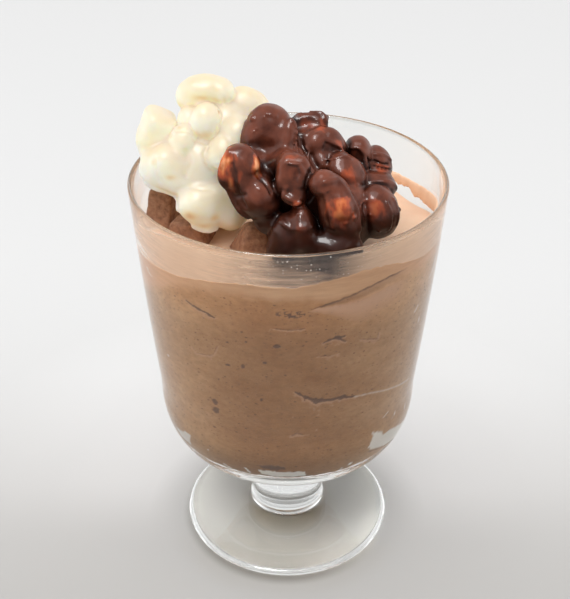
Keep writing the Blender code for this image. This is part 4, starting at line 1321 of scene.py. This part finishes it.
def make_camera():
    """The camera at the photograph's viewing angle."""
    data = bpy.data.cameras.new("camera")
    data.sensor_width = SENSOR
    data.lens = FOCAL_LENGTH
    camera = new_object("camera", data)
    turn = Euler((0.5 * math.pi - CAMERA_DOWN, 0.0, -CAMERA_TURN)).to_matrix()
    roll = Matrix.Rotation(CAMERA_ROLL, 3, "Z")
    camera.matrix_world = Matrix.Translation(CAMERA_PLACE * MM) @ (turn @ roll).to_4x4()
    bpy.context.scene.camera = camera


# Lights: name, place, what they are aimed at, size, power, and whether they only make highlights.
LIGHTS = (
    ("top", (-0.22, -0.7, 2.3), (0.0, 0.0, 0.1), 1.7, 28.5, False),
    ("shine", (-0.5, -1.0, 2.2), (0.0, 0.0, 0.12), 0.85, 48.0, True),
    ("sparkle", (-0.25, -1.7, 1.9), (0.0, 0.0, 0.12), 0.10, 4.0, True),
)


def make_light(name, place, aim, size, power, only_highlights):
    """A soft square light."""
    data = bpy.data.lights.new(name, "AREA")
    data.size = size
    data.energy = power
    light = new_object(name, data)
    light.location = place
    light.rotation_euler = (Vector(aim) - Vector(place)).to_track_quat("-Z", "Y").to_euler()
    light.visible_diffuse = not only_highlights
    light.visible_transmission = not only_highlights


# The world's light towards the back, and added towards both sides: start, end, and strength at both.
WORLD_BACK = (-0.9, 0.3, 0.58, 0.8)
WORLD_SIDES = (0.5, 0.95, 0.0, 0.9)


def make_world():
    """Even light from all round, strongest from the sides and behind, weakest from the camera's side."""
    world = bpy.data.worlds.new("studio")
    bpy.context.scene.world = world
    world.use_nodes = True
    nodes = Nodes(world.node_tree)
    x, y, _ = nodes.axes(nodes.place("Generated"))
    back = nodes.range(y, *WORLD_BACK)
    sides = nodes.range(nodes.maths("ABSOLUTE", x), *WORLD_SIDES)
    background = world.node_tree.nodes["Background"]
    nodes.feed(background.inputs["Color"], WHITE)
    nodes.feed(background.inputs["Strength"], nodes.maths("ADD", back, sides))


FLOOR_REACH = 6.0
FLOOR_DROP = 0.0002


def make_floor():
    """A wide pale floor, a little below the foot."""
    mesh = bpy.data.meshes.new("floor")
    sides = ((-1, -1), (1, -1), (1, 1), (-1, 1))
    corners = [(FLOOR_REACH * x, FLOOR_REACH * y, -FLOOR_DROP) for x, y in sides]
    mesh.from_pydata(corners, [], [(0, 1, 2, 3)])
    mesh.materials.append(floor_material())
    floor = new_object("floor", mesh)


def main():
    """Builds the looks round the frame."""
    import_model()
    make_glass()
    make_mousse()
    make_film()
    make_smear()
    make_dark_cluster()
    make_white_cluster()
    for node in CHUNKS:
        make_chunk(node)
    make_floor()
    make_camera()
    make_world()
    for light in LIGHTS:
        make_light(*light)
    scene = bpy.context.scene
    scene.cycles.max_bounces = 24
    scene.cycles.glossy_bounces = 16
    scene.cycles.transmission_bounces = 20
    scene.view_settings.view_transform = "Standard"


main()
